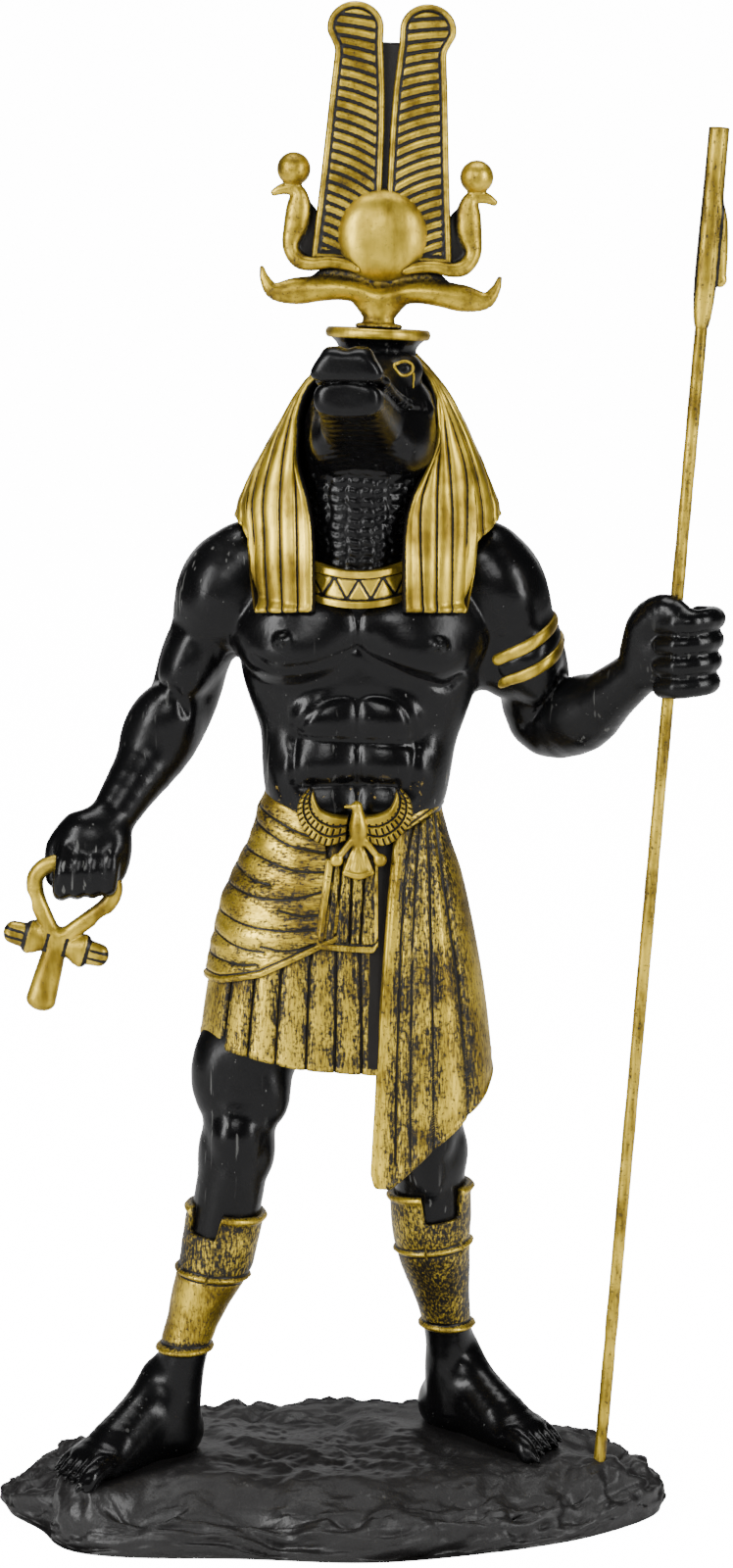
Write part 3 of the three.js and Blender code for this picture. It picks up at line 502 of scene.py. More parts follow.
@dataclass(frozen=True)
class Slices:
    """A form of level slices, each a rounded oval. Rows are [z, x, y, half width, front, back]."""

    rows: tuple
    power: float = 2.2

    def box(self) -> tuple[np.ndarray, np.ndarray]:
        """Lowest and highest corner."""
        z, x, y, half, front, back = spline(self.rows, 60).T
        low = np.array([(x - half).min(), (y - front).min(), z[0]])
        return low, np.array([(x + half).max(), (y + back).max(), z[-1]])

    def distance(self, points: np.ndarray) -> np.ndarray:
        """About how far each point is from the surface, below 0 inside."""
        z = points[:, 2]
        x, y, half, front, back = (array(v) for v in along(self.rows, z))
        deep = np.where(points[:, 1] < y, front, back)
        across, ahead = np.abs((points[:, 0] - x) / half), np.abs((points[:, 1] - y) / deep)
        reach = across**self.power + ahead**self.power
        level = (reach ** (1 / self.power) - 1) * np.minimum(half, deep)
        return np.maximum(level, np.maximum(self.rows[0][0] - z, z - self.rows[-1][0]))

    def surface(self, z: np.ndarray, angle: np.ndarray) -> tuple[np.ndarray, np.ndarray]:
        """Points of the surface and level outward directions.

        Args:
            z: (n, m) heights.
            angle: (n, m) angles in radians: 0 is +X and -pi/2 the front.

        Returns:
            (n, m, 3) points and (n, m, 3) unit directions.
        """
        x, y, half, front, back = along(self.rows, z)
        cosine, sine = np.cos(angle), np.sin(angle)
        deep = np.where(sine < 0, front, back)
        share = 2 / self.power
        across = np.sign(cosine) * np.abs(cosine) ** share
        ahead = np.sign(sine) * np.abs(sine) ** share
        points = np.stack([x + half * across, y + deep * ahead, z], axis=-1)
        outward = np.stack([across / half, ahead / deep, np.zeros_like(z)], axis=-1)
        return points, outward / np.linalg.norm(outward, axis=-1, keepdims=True)

    def front_angle(self, x, z) -> np.ndarray:
        """Angle on the front half at which the outline at heights z has the places x."""
        x0, _, half, _, _ = along(self.rows, z)
        ratio = np.clip((x - x0) / half, -0.9999, 0.9999)
        return -np.arccos(np.sign(ratio) * np.abs(ratio) ** (self.power / 2))


class Clay:
    """A form modelled from blended lumps on a grid, then skinned.

    Each step adds or cuts a shape. Where two surfaces come closer than the blend, the meeting edge is
    rounded by blend * h^2 / 4, with h how far they are inside the blend.
    """

    FAR = 12.0

    def __init__(self, step: float) -> None:
        """Starts empty, to be skinned with cells of this size."""
        self.step = step
        self.actions: list[tuple] = []

    def add(self, shape: "Lump | Limb | Slices | Upright", blend: float = 2.0) -> "Clay":
        """Adds a shape, its meeting edge rounded over the blend."""
        self.actions.append(("add", shape, blend, shape.box()))
        return self

    def cut(self, shape: "Lump | Limb | Slices | Upright", blend: float = 0.8) -> "Clay":
        """Cuts a shape away, its edge rounded over the blend."""
        self.actions.append(("cut", shape, blend, shape.box()))
        return self

    def press(self, depth: Callable[[np.ndarray], np.ndarray], low, high) -> "Clay":
        """Sinks the surface inside a box.

        Args:
            depth: Gives the depth at (n, 3) points.
            low: Lowest corner of the box.
            high: Its highest corner.

        Returns:
            The form itself.
        """
        self.actions.append(("press", depth, 0.0, (np.asarray(low, float), np.asarray(high, float))))
        return self

    def _apply(self, action: tuple, points: np.ndarray, values: np.ndarray) -> np.ndarray:
        """Values after one action."""
        kind, shape, blend, _ = action
        if kind == "press":
            return values + array(shape(points))
        other = shape.distance(points)
        if kind == "cut":
            values, other = -values, other
        near = np.maximum(blend - np.abs(values - other), 0) / blend
        least = np.minimum(values, other) - near * near * blend / 4
        return -least if kind == "cut" else least

    def _margin(self, action: tuple) -> float:
        """How far outside its box an action can change the values."""
        return 0.0 if action[0] == "press" else action[2] + 3 * self.step

    def values_at(self, points: np.ndarray) -> np.ndarray:
        """The form's distance value at each point."""
        values = np.full(len(points), self.FAR, np.float32)
        for action in self.actions:
            low, high = action[3]
            margin = self._margin(action)
            near = np.all((points > low - margin) & (points < high + margin), axis=1)
            if near.any():
                values[near] = self._apply(action, points[near], values[near])
        return values

    def _grid(self) -> tuple[np.ndarray, np.ndarray]:
        """The grid's lowest corner and the values at its nodes."""
        boxes = [action[3] for action in self.actions if action[0] == "add"]
        low = np.min([b[0] for b in boxes], axis=0) - 3 * self.step
        high = np.max([b[1] for b in boxes], axis=0) + 3 * self.step
        shape = np.ceil((high - low) / self.step).astype(int) + 1
        grid = np.full(shape, self.FAR, np.float32)
        for action in self.actions:
            margin = self._margin(action)
            first = np.clip(np.floor((action[3][0] - margin - low) / self.step).astype(int), 0, shape - 1)
            last = np.clip(np.ceil((action[3][1] + margin - low) / self.step).astype(int) + 1, 1, shape)
            if np.any(last <= first):
                continue
            axes = [low[k] + self.step * np.arange(first[k], last[k]) for k in range(3)]
            points = array(np.stack(np.meshgrid(*axes, indexing="ij"), axis=-1).reshape(-1, 3))
            part = tuple(slice(first[k], last[k]) for k in range(3))
            block = grid[part]
            grid[part] = self._apply(action, points, block.ravel()).reshape(block.shape)
        return low, grid

    def skin(self) -> Skin:
        """The surface where the value is 0.

        Each cell that the surface crosses gets one point, moved onto the surface, and each crossed edge
        between cells one face.

        Returns:
            The skin, with its faces turned outwards.
        """
        low, grid = self._grid()
        inside = grid < 0
        corners = list(np.ndindex(2, 2, 2))
        deep, wide, tall = np.array(inside.shape) - 1
        count = sum(inside[a : deep + a, b : wide + b, c : tall + c].astype(np.int8) for a, b, c in corners)
        crossed = (count > 0) & (count < 8)
        cells = np.argwhere(crossed)
        index = np.full(crossed.shape, -1, np.int64)
        index[crossed] = np.arange(len(cells))
        total = np.zeros((len(cells), 3))
        hits = np.zeros(len(cells))
        for one in corners:
            for axis in range(3):
                if one[axis]:
                    continue
                other = tuple(1 if k == axis else one[k] for k in range(3))
                a = grid[tuple((cells + one).T)]
                b = grid[tuple((cells + other).T)]
                hit = (a < 0) != (b < 0)
                t = a[hit] / (a[hit] - b[hit])
                place = (cells[hit] + one).astype(float)
                place[:, axis] += t
                total[hit] += place
                hits[hit] += 1
        points = low + self.step * total / hits[:, None]
        quads = []
        for axis in range(3):
            u, v = (axis + 1) % 3, (axis + 2) % 3
            before = np.take(inside, range(inside.shape[axis] - 1), axis)
            after = np.take(inside, range(1, inside.shape[axis]), axis)
            for flip, change in ((False, before & ~after), (True, ~before & after)):
                edge = np.argwhere(change)
                around = []
                for du, dv in ((0, 0), (-1, 0), (-1, -1), (0, -1)):
                    cell = edge.copy()
                    cell[:, u] += du
                    cell[:, v] += dv
                    around.append(index[tuple(cell.T)])
                quad = np.stack(around, axis=1)
                quads.append(quad[:, ::-1] if flip else quad)
        for _ in range(2):
            points = self.settle(points)
        return Skin(points, np.vstack(quads)).outward()

    def settle(self, points: np.ndarray) -> np.ndarray:
        """Moves points along the slope of the value to where it is 0."""
        reach = self.step * 0.25
        arms = array([[1, 1, 1], [1, -1, -1], [-1, 1, -1], [-1, -1, 1]])
        near = array(points)
        samples = [self.values_at(near + arm * reach) for arm in arms]
        slope = sum(s[:, None] * arm for s, arm in zip(samples, arms)) / (4 * reach)
        size = np.maximum((slope**2).sum(1), 0.05)
        move = (sum(samples) / 4 / size)[:, None] * slope
        far = np.maximum(np.linalg.norm(move, axis=1, keepdims=True) / (self.step * 0.8), 1)
        return points - move / far


# Objects


def model(points) -> np.ndarray:
    """Drawn points, which are measured from the rock's top, as metres from the underside."""
    return (np.asarray(points, float) + [0, 0, SOLES]) * MM


def build(name: str, skin: Skin, material: bpy.types.Material, slot: Slot, *nodes: str) -> bpy.types.Object:
    """Makes a piece of a skin, on its body, in place of its CAD nodes.

    Args:
        name: Object name.
        skin: The surface.
        material: Blender material.
        slot: Material slot of the record; not used.
        nodes: CAD nodes that it stands for.

    Returns:
        The Blender object.
    """
    mesh = bpy.data.meshes.new(name)
    points = model(skin.points)
    mesh.vertices.add(len(points))
    mesh.vertices.foreach_set("co", points.astype(np.float32).ravel())
    corners = np.concatenate([skin.quads.ravel(), skin.triangles.ravel()]).astype(np.int32)
    mesh.loops.add(len(corners))
    mesh.loops.foreach_set("vertex_index", corners)
    sizes = np.concatenate([np.full(len(skin.quads), 4), np.full(len(skin.triangles), 3)])
    mesh.polygons.add(len(sizes))
    mesh.polygons.foreach_set("loop_start", np.concatenate([[0], np.cumsum(sizes)[:-1]]).astype(np.int32))
    mesh.polygons.foreach_set("use_smooth", np.ones(len(sizes), bool))
    mesh.update(calc_edges=True)
    mesh.validate()
    for key, values in {"hollow": skin.hollow(), **skin.values}.items():
        mesh.attributes.new(key, "FLOAT", "POINT").data.foreach_set("value", array(values))
    mesh.materials.append(material)
    piece = bpy.data.objects.new(name, mesh)
    bpy.context.scene.collection.objects.link(piece)
    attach(piece, "root")
    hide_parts(*nodes)
    log.info("%s: %d triangles", name, int((sizes - 2).sum()))
    return piece


# Paint and resin


class Shader:
    """A material or node group under construction, with short ways to add and link nodes."""

    def __init__(self, tree) -> None:
        """Takes an empty node tree."""
        self.tree = tree
        tree.nodes.clear()

    def node(self, kind: str, settings: dict | None = None, **inputs):
        """Adds a node, sets its options, and fills its inputs with sockets or values.

        Args:
            kind: Node type without its ShaderNode prefix.
            settings: Options by name.
            **inputs: Input sockets by name, spaces written as underscores.

        Returns:
            The node.
        """
        made = self.tree.nodes.new("ShaderNode" + kind)
        for key, value in (settings or {}).items():
            setattr(made, key, value)
        for key, value in inputs.items():
            self.fill(made.inputs[key.replace("_", " ")], value)
        return made

    def fill(self, socket, value) -> None:
        """Links a socket or sets a value."""
        if isinstance(value, bpy.types.NodeSocket):
            self.tree.links.new(value, socket)
        else:
            socket.default_value = value

    def math(self, operation: str, *values, clamp: bool = False):
        """Output of a math node."""
        made = self.tree.nodes.new("ShaderNodeMath")
        made.operation = operation
        made.use_clamp = clamp
        for socket, value in zip(made.inputs, values):
            self.fill(socket, value)
        return made.outputs[0]

    def ramp(self, value, low: float, high: float, out_low: float = 0.0, out_high: float = 1.0):
        """A value mapped with level ends from one range to another."""
        made = self.node("MapRange", {"interpolation_type": "SMOOTHSTEP"}, Value=value)
        for key, number in (("From Min", low), ("From Max", high), ("To Min", out_low), ("To Max", out_high)):
            self.fill(made.inputs[key], number)
        return made.outputs[0]

    def mix(self, share, a, b):
        """Two colours mixed."""
        made = self.tree.nodes.new("ShaderNodeMix")
        made.data_type = "RGBA"
        self.fill(made.inputs[0], share)
        self.fill(made.inputs[6], a)
        self.fill(made.inputs[7], b)
        return made.outputs[2]

    def noise(self, vector, scale: float, detail: float = 3.0, rough: float = 0.55, distort: float = 0.0):
        """Noise value at a vector."""
        made = self.node("TexNoise", {"noise_dimensions": "3D"}, Vector=vector, Scale=scale, Detail=detail)
        self.fill(made.inputs["Roughness"], rough)
        self.fill(made.inputs["Distortion"], distort)
        return made.outputs["Fac"]

    def put_out(self, bsdf, height, deep: float) -> None:
        """Ends a material with its surface, dented by a height value, deep metres for 1."""
        dents = self.node("Bump", Height=height, Strength=1.0, Distance=deep)
        self.fill(bsdf.inputs["Normal"], dents.outputs[0])
        self.node("OutputMaterial", Surface=bsdf.outputs[0])

    def stretched(self, vector, scale: tuple, turn: tuple = (0, 0, 0)):
        """A vector turned, in degrees, and scaled."""
        made = self.node("Mapping", {"vector_type": "POINT"}, Vector=vector)
        made.inputs["Rotation"].default_value = [math.radians(a) for a in turn]
        made.inputs["Scale"].default_value = scale
        return made.outputs[0]


def new_material(name: str) -> tuple[bpy.types.Material, Shader]:
    """An empty material and the helper on its tree."""
    material = bpy.data.materials.new(name)
    material.use_nodes = True
    return material, Shader(material.node_tree)


def effect(name: str, inputs: dict[str, float | str], outputs: tuple[str, ...]):
    """An empty node group for an effect that several paints share.

    Args:
        name: Group name.
        inputs: Input names, each with its default number, or the word "vector".
        outputs: Names of the values it puts out.

    Returns:
        The shader helper on its tree, its input node and its output node.
    """
    tree = bpy.data.node_groups.new(name, "ShaderNodeTree")
    for key, default in inputs.items():
        kind = "NodeSocketVector" if default == "vector" else "NodeSocketFloat"
        socket = tree.interface.new_socket(name=key, in_out="INPUT", socket_type=kind)
        if default != "vector":
            socket.default_value = default
    for key in outputs:
        tree.interface.new_socket(name=key, in_out="OUTPUT", socket_type="NodeSocketFloat")
    s = Shader(tree)
    return s, tree.nodes.new("NodeGroupInput"), tree.nodes.new("NodeGroupOutput")


def scuffs_effect() -> bpy.types.NodeTree:
    """Fine scratches and dust on paint: Scratches and Dust, 0 to 1, and a broad Drift.

    Returns:
        The node group.
    """
    s, given, put = effect("scuffs", {"Vector": "vector", "Amount": 0.5}, ("Scratches", "Dust", "Drift"))
    place = given.outputs["Vector"]
    patches = s.noise(place, 38, 2)
    # Turn and scale of each run of scratches, and the noise above which they show
    runs = (
        ((0, 35, 0), (900, 900, 26), 0.70),
        ((0, -52, 20), (820, 820, 22), 0.715),
        ((0, 80, 0), (760, 760, 30), 0.72),
    )
    total = None
    for turn, scale, low in runs:
        line = s.noise(s.stretched(place, scale, turn), 1.0, 1.0, 0.4)
        line = s.ramp(line, low, low + 0.035)
        total = line if total is None else s.math("MAXIMUM", total, line)
    total = s.math("MULTIPLY", total, s.ramp(patches, 0.5, 0.66))
    s.fill(put.inputs["Scratches"], s.math("MULTIPLY", total, given.outputs["Amount"], clamp=True))
    dots = s.ramp(s.noise(place, 1300, 1.0, 0.5), 0.765, 0.80)
    s.fill(put.inputs["Dust"], s.math("MULTIPLY", dots, given.outputs["Amount"], clamp=True))
    s.fill(put.inputs["Drift"], s.noise(place, 60, 2))
    return s.tree


def rubbing_effect() -> bpy.types.NodeTree:
    """Gold rubbed over black: Gold, 0 to 1, with its Tone and the Height of the paint.

    Gold stays off grooves and hollows. Where coverage is low, streaks and grains of black show through,
    least on raised borders.

    Returns:
        The node group.
    """
    s, given, put = effect(
        "rubbed_gold",
        {
            "Vector": "vector",
            "Streaks": "vector",
            "Hollow": 0.0,
            "Groove": 0.0,
            "Raised": 0.0,
            "Coverage": 0.8,
            "Depth": 0.6,
            "Grain": 0.5,
        },
        ("Gold", "Tone", "Height"),
    )
    place, streaks = given.outputs["Vector"], given.outputs["Streaks"]
    speck = s.noise(place, 1500, 2.0, 0.6)
    brush = s.noise(streaks, 1.0, 3.0, 0.6)
    broad = s.noise(place, 95, 3.0, 0.55)

    def scaled(value, factor: float):
        return s.math("MULTIPLY", value, factor)

    # Black in hollows and grooves, with an uneven edge: the black ground, and painted shade where the hollow
    # and groove values carry it
    ragged = s.math("SUBTRACT", speck, 0.5)
    sunk = s.ramp(s.math("ADD", given.outputs["Hollow"], scaled(ragged, 1.1)), 0.20, 0.62)
    sunk = s.math("MULTIPLY", sunk, given.outputs["Depth"])
    grooved = s.ramp(s.math("ADD", given.outputs["Groove"], scaled(ragged, 0.6)), 0.46, 0.68)
    wash = s.math("MAXIMUM", sunk, grooved)
    # Streaks where the brush left none
    bare = s.math("SUBTRACT", 1.0, given.outputs["Coverage"])
    bare = s.math("MULTIPLY", bare, s.ramp(given.outputs["Raised"], 0.1, 1.0, 1.06, 0.38))
    pattern = s.math("ADD", scaled(brush, 0.46), s.math("ADD", scaled(broad, 0.20), scaled(speck, 0.34)))
    level = s.math("ADD", 0.30, scaled(bare, 0.42))
    worn = s.node("MapRange", {"interpolation_type": "SMOOTHSTEP"}, Value=pattern)
    s.fill(worn.inputs["From Min"], s.math("SUBTRACT", level, 0.10))
    s.fill(worn.inputs["From Max"], s.math("ADD", level, 0.10))
    worn.inputs["To Min"].default_value, worn.inputs["To Max"].default_value = 0.0, 1.0
    # Grains of black that the gold skipped
    full = s.math("SUBTRACT", 1.0, given.outputs["Grain"])
    grain = s.math("MULTIPLY", s.ramp(speck, 0.30, 0.42), given.outputs["Grain"])
    grain = s.math("ADD", full, grain, clamp=True)
    gold = s.math("MULTIPLY", worn.outputs[0], grain)
    gold = s.math("MULTIPLY", gold, s.math("SUBTRACT", 1.0, wash), clamp=True)
    s.fill(put.inputs["Gold"], gold)
    s.fill(put.inputs["Tone"], s.math("ADD", scaled(broad, 0.6), scaled(brush, 0.4)))
    s.fill(put.inputs["Height"], s.math("ADD", scaled(gold, 0.6), scaled(speck, 0.4)))
    return s.tree


@dataclass(frozen=True)
class BlackFinish:
    """Black paint on the casting.

    Scuffing is the strength of the scratches, smears that of stray gold from the brush.
    """

    name: str
    colour: tuple = (0.0020, 0.0020, 0.0022)
    roughness: float = 0.25
    gloss: float = 0.19
    scuffing: float = 0.5
    smears: float = 0.0
    relief: float = 0.00008
    relief_scale: float = 420.0

    def paint(self, scuffs: bpy.types.NodeTree) -> bpy.types.Material:
        """Makes the material.

        Args:
            scuffs: The node group of scuffs_effect.

        Returns:
            The Blender material.
        """
        material, s = new_material(self.name)
        place = s.node("TexCoord").outputs["Object"]
        wear = s.node("Group", {"node_tree": scuffs}, Vector=place, Amount=self.scuffing)
        marks = s.math("MAXIMUM", wear.outputs["Scratches"], wear.outputs["Dust"])
        colour = s.mix(s.math("MULTIPLY", marks, 0.34), (*self.colour, 1), (0.42, 0.42, 0.4, 1))
        metal = None
        if self.smears:
            near = s.node("Attribute", {"attribute_name": "smear"}).outputs["Fac"]
            spots = s.ramp(s.noise(place, 560, 3.0, 0.6), 0.64, 0.72)
            metal = s.math("MULTIPLY", s.math("MULTIPLY", spots, near), self.smears, clamp=True)
            colour = s.mix(metal, colour, (0.38, 0.26, 0.06, 1))
        bsdf = s.node("BsdfPrincipled")
        s.fill(bsdf.inputs["Base Color"], colour)
        if metal is not None:
            s.fill(bsdf.inputs["Metallic"], s.math("MULTIPLY", metal, 0.6))
        uneven = s.ramp(wear.outputs["Drift"], 0.3, 0.7, self.roughness - 0.05, self.roughness + 0.08)
        s.fill(bsdf.inputs["Roughness"], uneven)
        bsdf.inputs["Specular IOR Level"].default_value = self.gloss
        s.put_out(bsdf, s.noise(place, self.relief_scale, 4.0, 0.6), self.relief)
        return material


@dataclass(frozen=True)
class GoldFinish:
    """Antique gold paint over black.

    Coverage is the share of gold, depth how dark the hollows are, and streak the scale and turn of the
    brush marks: small along the stroke and large across it.
    """

    name: str
    coverage: float = 0.8
    depth: float = 0.7
    grain: float = 0.4
    streak_scale: tuple = (420, 420, 420)
    streak_turn: tuple = (0, 0, 0)
    light: tuple = (0.74, 0.53, 0.055)
    deep: tuple = (0.18, 0.118, 0.012)
    ground: tuple = (0.006, 0.005, 0.004)
    roughness: float = 0.39
    metal: float = 0.9
    relief: float = 0.00006
    # How far the darkening of hollows between pieces reaches, in metres: black ground and painted shade
    hollow_shade_reach: float = 0.0036

    def paint(self, rubbing: bpy.types.NodeTree) -> bpy.types.Material:
        """Makes the material.

        Args:
            rubbing: The node group of rubbing_effect.

        Returns:
            The Blender material.
        """
        material, s = new_material(self.name)
        place = s.node("TexCoord").outputs["Object"]
        keys = ("Hollow", "Groove", "Raised")
        fields = {key: s.node("Attribute", {"attribute_name": key.lower()}).outputs["Fac"] for key in keys}
        # Hollows between pieces, which their own shape can't tell, found by occlusion and darkened: partly
        # the black ground, partly painted shade
        near = s.node("AmbientOcclusion", {"samples": 6}, Distance=self.hollow_shade_reach)
        hollow_shade = s.ramp(near.outputs["AO"], 0.90, 0.42)
        fields["Hollow"] = s.math("MAXIMUM", fields["Hollow"], hollow_shade)
        streaks = s.stretched(place, self.streak_scale, self.streak_turn)
        rub = s.node("Group", {"node_tree": rubbing}, Vector=place, Streaks=streaks, **fields)
        rub.inputs["Coverage"].default_value = self.coverage
        rub.inputs["Depth"].default_value = self.depth
        rub.inputs["Grain"].default_value = self.grain
        gold = s.mix(s.ramp(rub.outputs["Tone"], 0.38, 0.64), (*self.deep, 1), (*self.light, 1))
        bsdf = s.node("BsdfPrincipled")
        s.fill(bsdf.inputs["Base Color"], s.mix(rub.outputs["Gold"], (*self.ground, 1), gold))
        s.fill(bsdf.inputs["Metallic"], s.math("MULTIPLY", rub.outputs["Gold"], self.metal))
        bsdf.inputs["Specular IOR Level"].default_value = 0.22
        uneven = s.ramp(rub.outputs["Tone"], 0.3, 0.7, self.roughness + 0.08, self.roughness - 0.04)
        s.fill(bsdf.inputs["Roughness"], uneven)
        s.put_out(bsdf, rub.outputs["Height"], self.relief)
        return material


SATIN_BLACK = BlackFinish("satin_black", smears=0.8)
ROCK_BLACK = BlackFinish(
    "rock_black",
    colour=(0.0090, 0.0084, 0.0084),
    roughness=0.45,
    gloss=0.38,
    scuffing=0.2,
    relief=0.0005,
    relief_scale=160.0,
)
SMOOTH_GOLD = GoldFinish("smooth_gold", coverage=0.97, grain=0.25, streak_scale=(300, 300, 60))
CROWN_GOLD = GoldFinish("crown_gold", coverage=0.84, grain=0.6, depth=1.0, light=(0.68, 0.48, 0.046))
KILT_GOLD = GoldFinish(
    "kilt_gold", coverage=0.40, grain=0.8, streak_scale=(2600, 2600, 420), streak_turn=(0, -38, 0), metal=0.86
)
WRAP_GOLD = GoldFinish(
    "wrap_gold", coverage=0.54, grain=0.75, streak_scale=(460, 1500, 2500), streak_turn=(0, 12, 0)
)
DRAPE_GOLD = GoldFinish("drape_gold", coverage=0.44, grain=0.8, streak_scale=(2800, 2800, 380))
GUARD_GOLD = GoldFinish(
    "guard_gold", coverage=0.42, grain=0.85, streak_scale=(2500, 2500, 520), streak_turn=(0, 8, 0)
)
STAFF_GOLD = GoldFinish(
    "staff_gold", coverage=0.78, grain=0.7, streak_scale=(900, 900, 120), streak_turn=(0, 4, 0)
)


@dataclass(frozen=True)
class Studio:
    """Pale floor, soft lights and a camera set as the photo was taken."""

    eye: tuple = (0.0065, -0.996, 0.345)
    pitch: float = 11.018
    lens: float = 116.8
    # What the lights point at
    aim: tuple = (0, 0, 0.15)
    floor_half: float = 6.0
    # Brightness of the white surround as the camera sees it, and as it lights the figure
    seen: float = 15.0
    lit: float = 0.042
    # Name, place, width, height, watts
    lamps: tuple = (
        ("left_box", (-0.95, -0.75, 0.55), 0.26, 0.9, 18),
        ("right_box", (0.98, -0.70, 0.50), 0.24, 0.8, 14),
        ("top_box", (0.0, 0.10, 1.15), 0.9, 0.4, 10),
        ("front_box", (-0.18, -1.25, 0.80), 0.55, 0.35, 7),
        ("back_box", (0.0, 1.25, 0.42), 1.7, 0.4, 3),
    )

    def _surround(self, s: Shader):
        """Brightness: full to the camera, low to everything else."""
        direct = s.node("LightPath").outputs["Is Camera Ray"]
        return s.math("ADD", self.lit, s.math("MULTIPLY", direct, self.seen - self.lit))

    def _floor(self) -> None:
        """A wide white floor that glows to the camera."""
        size = self.floor_half
        corners = [(-size, -size, 0), (size, -size, 0), (size, size, 0), (-size, size, 0)]
        mesh = bpy.data.meshes.new("floor")
        mesh.from_pydata(corners, [], [(0, 1, 2, 3)])
        floor = bpy.data.objects.new("floor", mesh)
        bpy.context.scene.collection.objects.link(floor)
        material, s = new_material("pale_floor")
        bsdf = s.node("BsdfDiffuse", Color=(0.9, 0.9, 0.9, 1))
        glow = s.node("Emission", Color=(1, 1, 1, 1), Strength=self._surround(s))
        both = s.node("AddShader")
        s.fill(both.inputs[0], bsdf.outputs[0])
        s.fill(both.inputs[1], glow.outputs[0])
        s.node("OutputMaterial", Surface=both.outputs[0])
        mesh.materials.append(material)

    def _world(self) -> None:
        """The white room."""
        world = bpy.data.worlds.new("white_room")
        world.use_nodes = True
        s = Shader(world.node_tree)
        sky = s.node("Background", Color=(1, 1, 1, 1), Strength=self._surround(s))
        s.node("OutputWorld", Surface=sky.outputs[0])
        bpy.context.scene.world = world

    def _camera(self) -> None:
        """The camera, tipped down towards the figure."""
        data = bpy.data.cameras.new("camera")
        data.lens, data.sensor_width = self.lens, 36
        camera = bpy.data.objects.new("camera", data)
        camera.location = self.eye
        camera.rotation_euler = (math.radians(90 - self.pitch), 0, 0)
        bpy.context.scene.collection.objects.link(camera)
        bpy.context.scene.camera = camera

    def build(self) -> None:
        """Adds the floor, the lights and the camera."""
        self._floor()
        self._world()
        for name, place, wide, tall, power in self.lamps:
            data = bpy.data.lights.new(name, "AREA")
            data.shape = "RECTANGLE"
            data.size, data.size_y, data.energy = wide, tall, power
            lamp = bpy.data.objects.new(name, data)
            lamp.location = place
            lamp.rotation_euler = (Vector(self.aim) - Vector(place)).to_track_quat("-Z", "Y").to_euler()
            bpy.context.scene.collection.objects.link(lamp)
        self._camera()


# The figure


def engraved(lines, depth: float, width: float, front: float = 0.0) -> Callable[[np.ndarray], np.ndarray]:
    """A depth function that sinks smooth lines into the side that faces the front.

    Args:
        lines: Lines of (x, z) knots.
        depth: Deepest sinking.
        width: Half width.
        front: Points with y below this are sunk.

    Returns:
        The function of (n, 3) points.
    """
    curves = [array(spline(line, 6 * len(line))) for line in lines]

    def sink(points: np.ndarray) -> np.ndarray:
        near = np.min([line_distance(points[:, [0, 2]], curve) for curve in curves], axis=0)
        return depth * bump(near, width) * smooth(front + 1.5, front - 1.5, points[:, 1])

    return sink


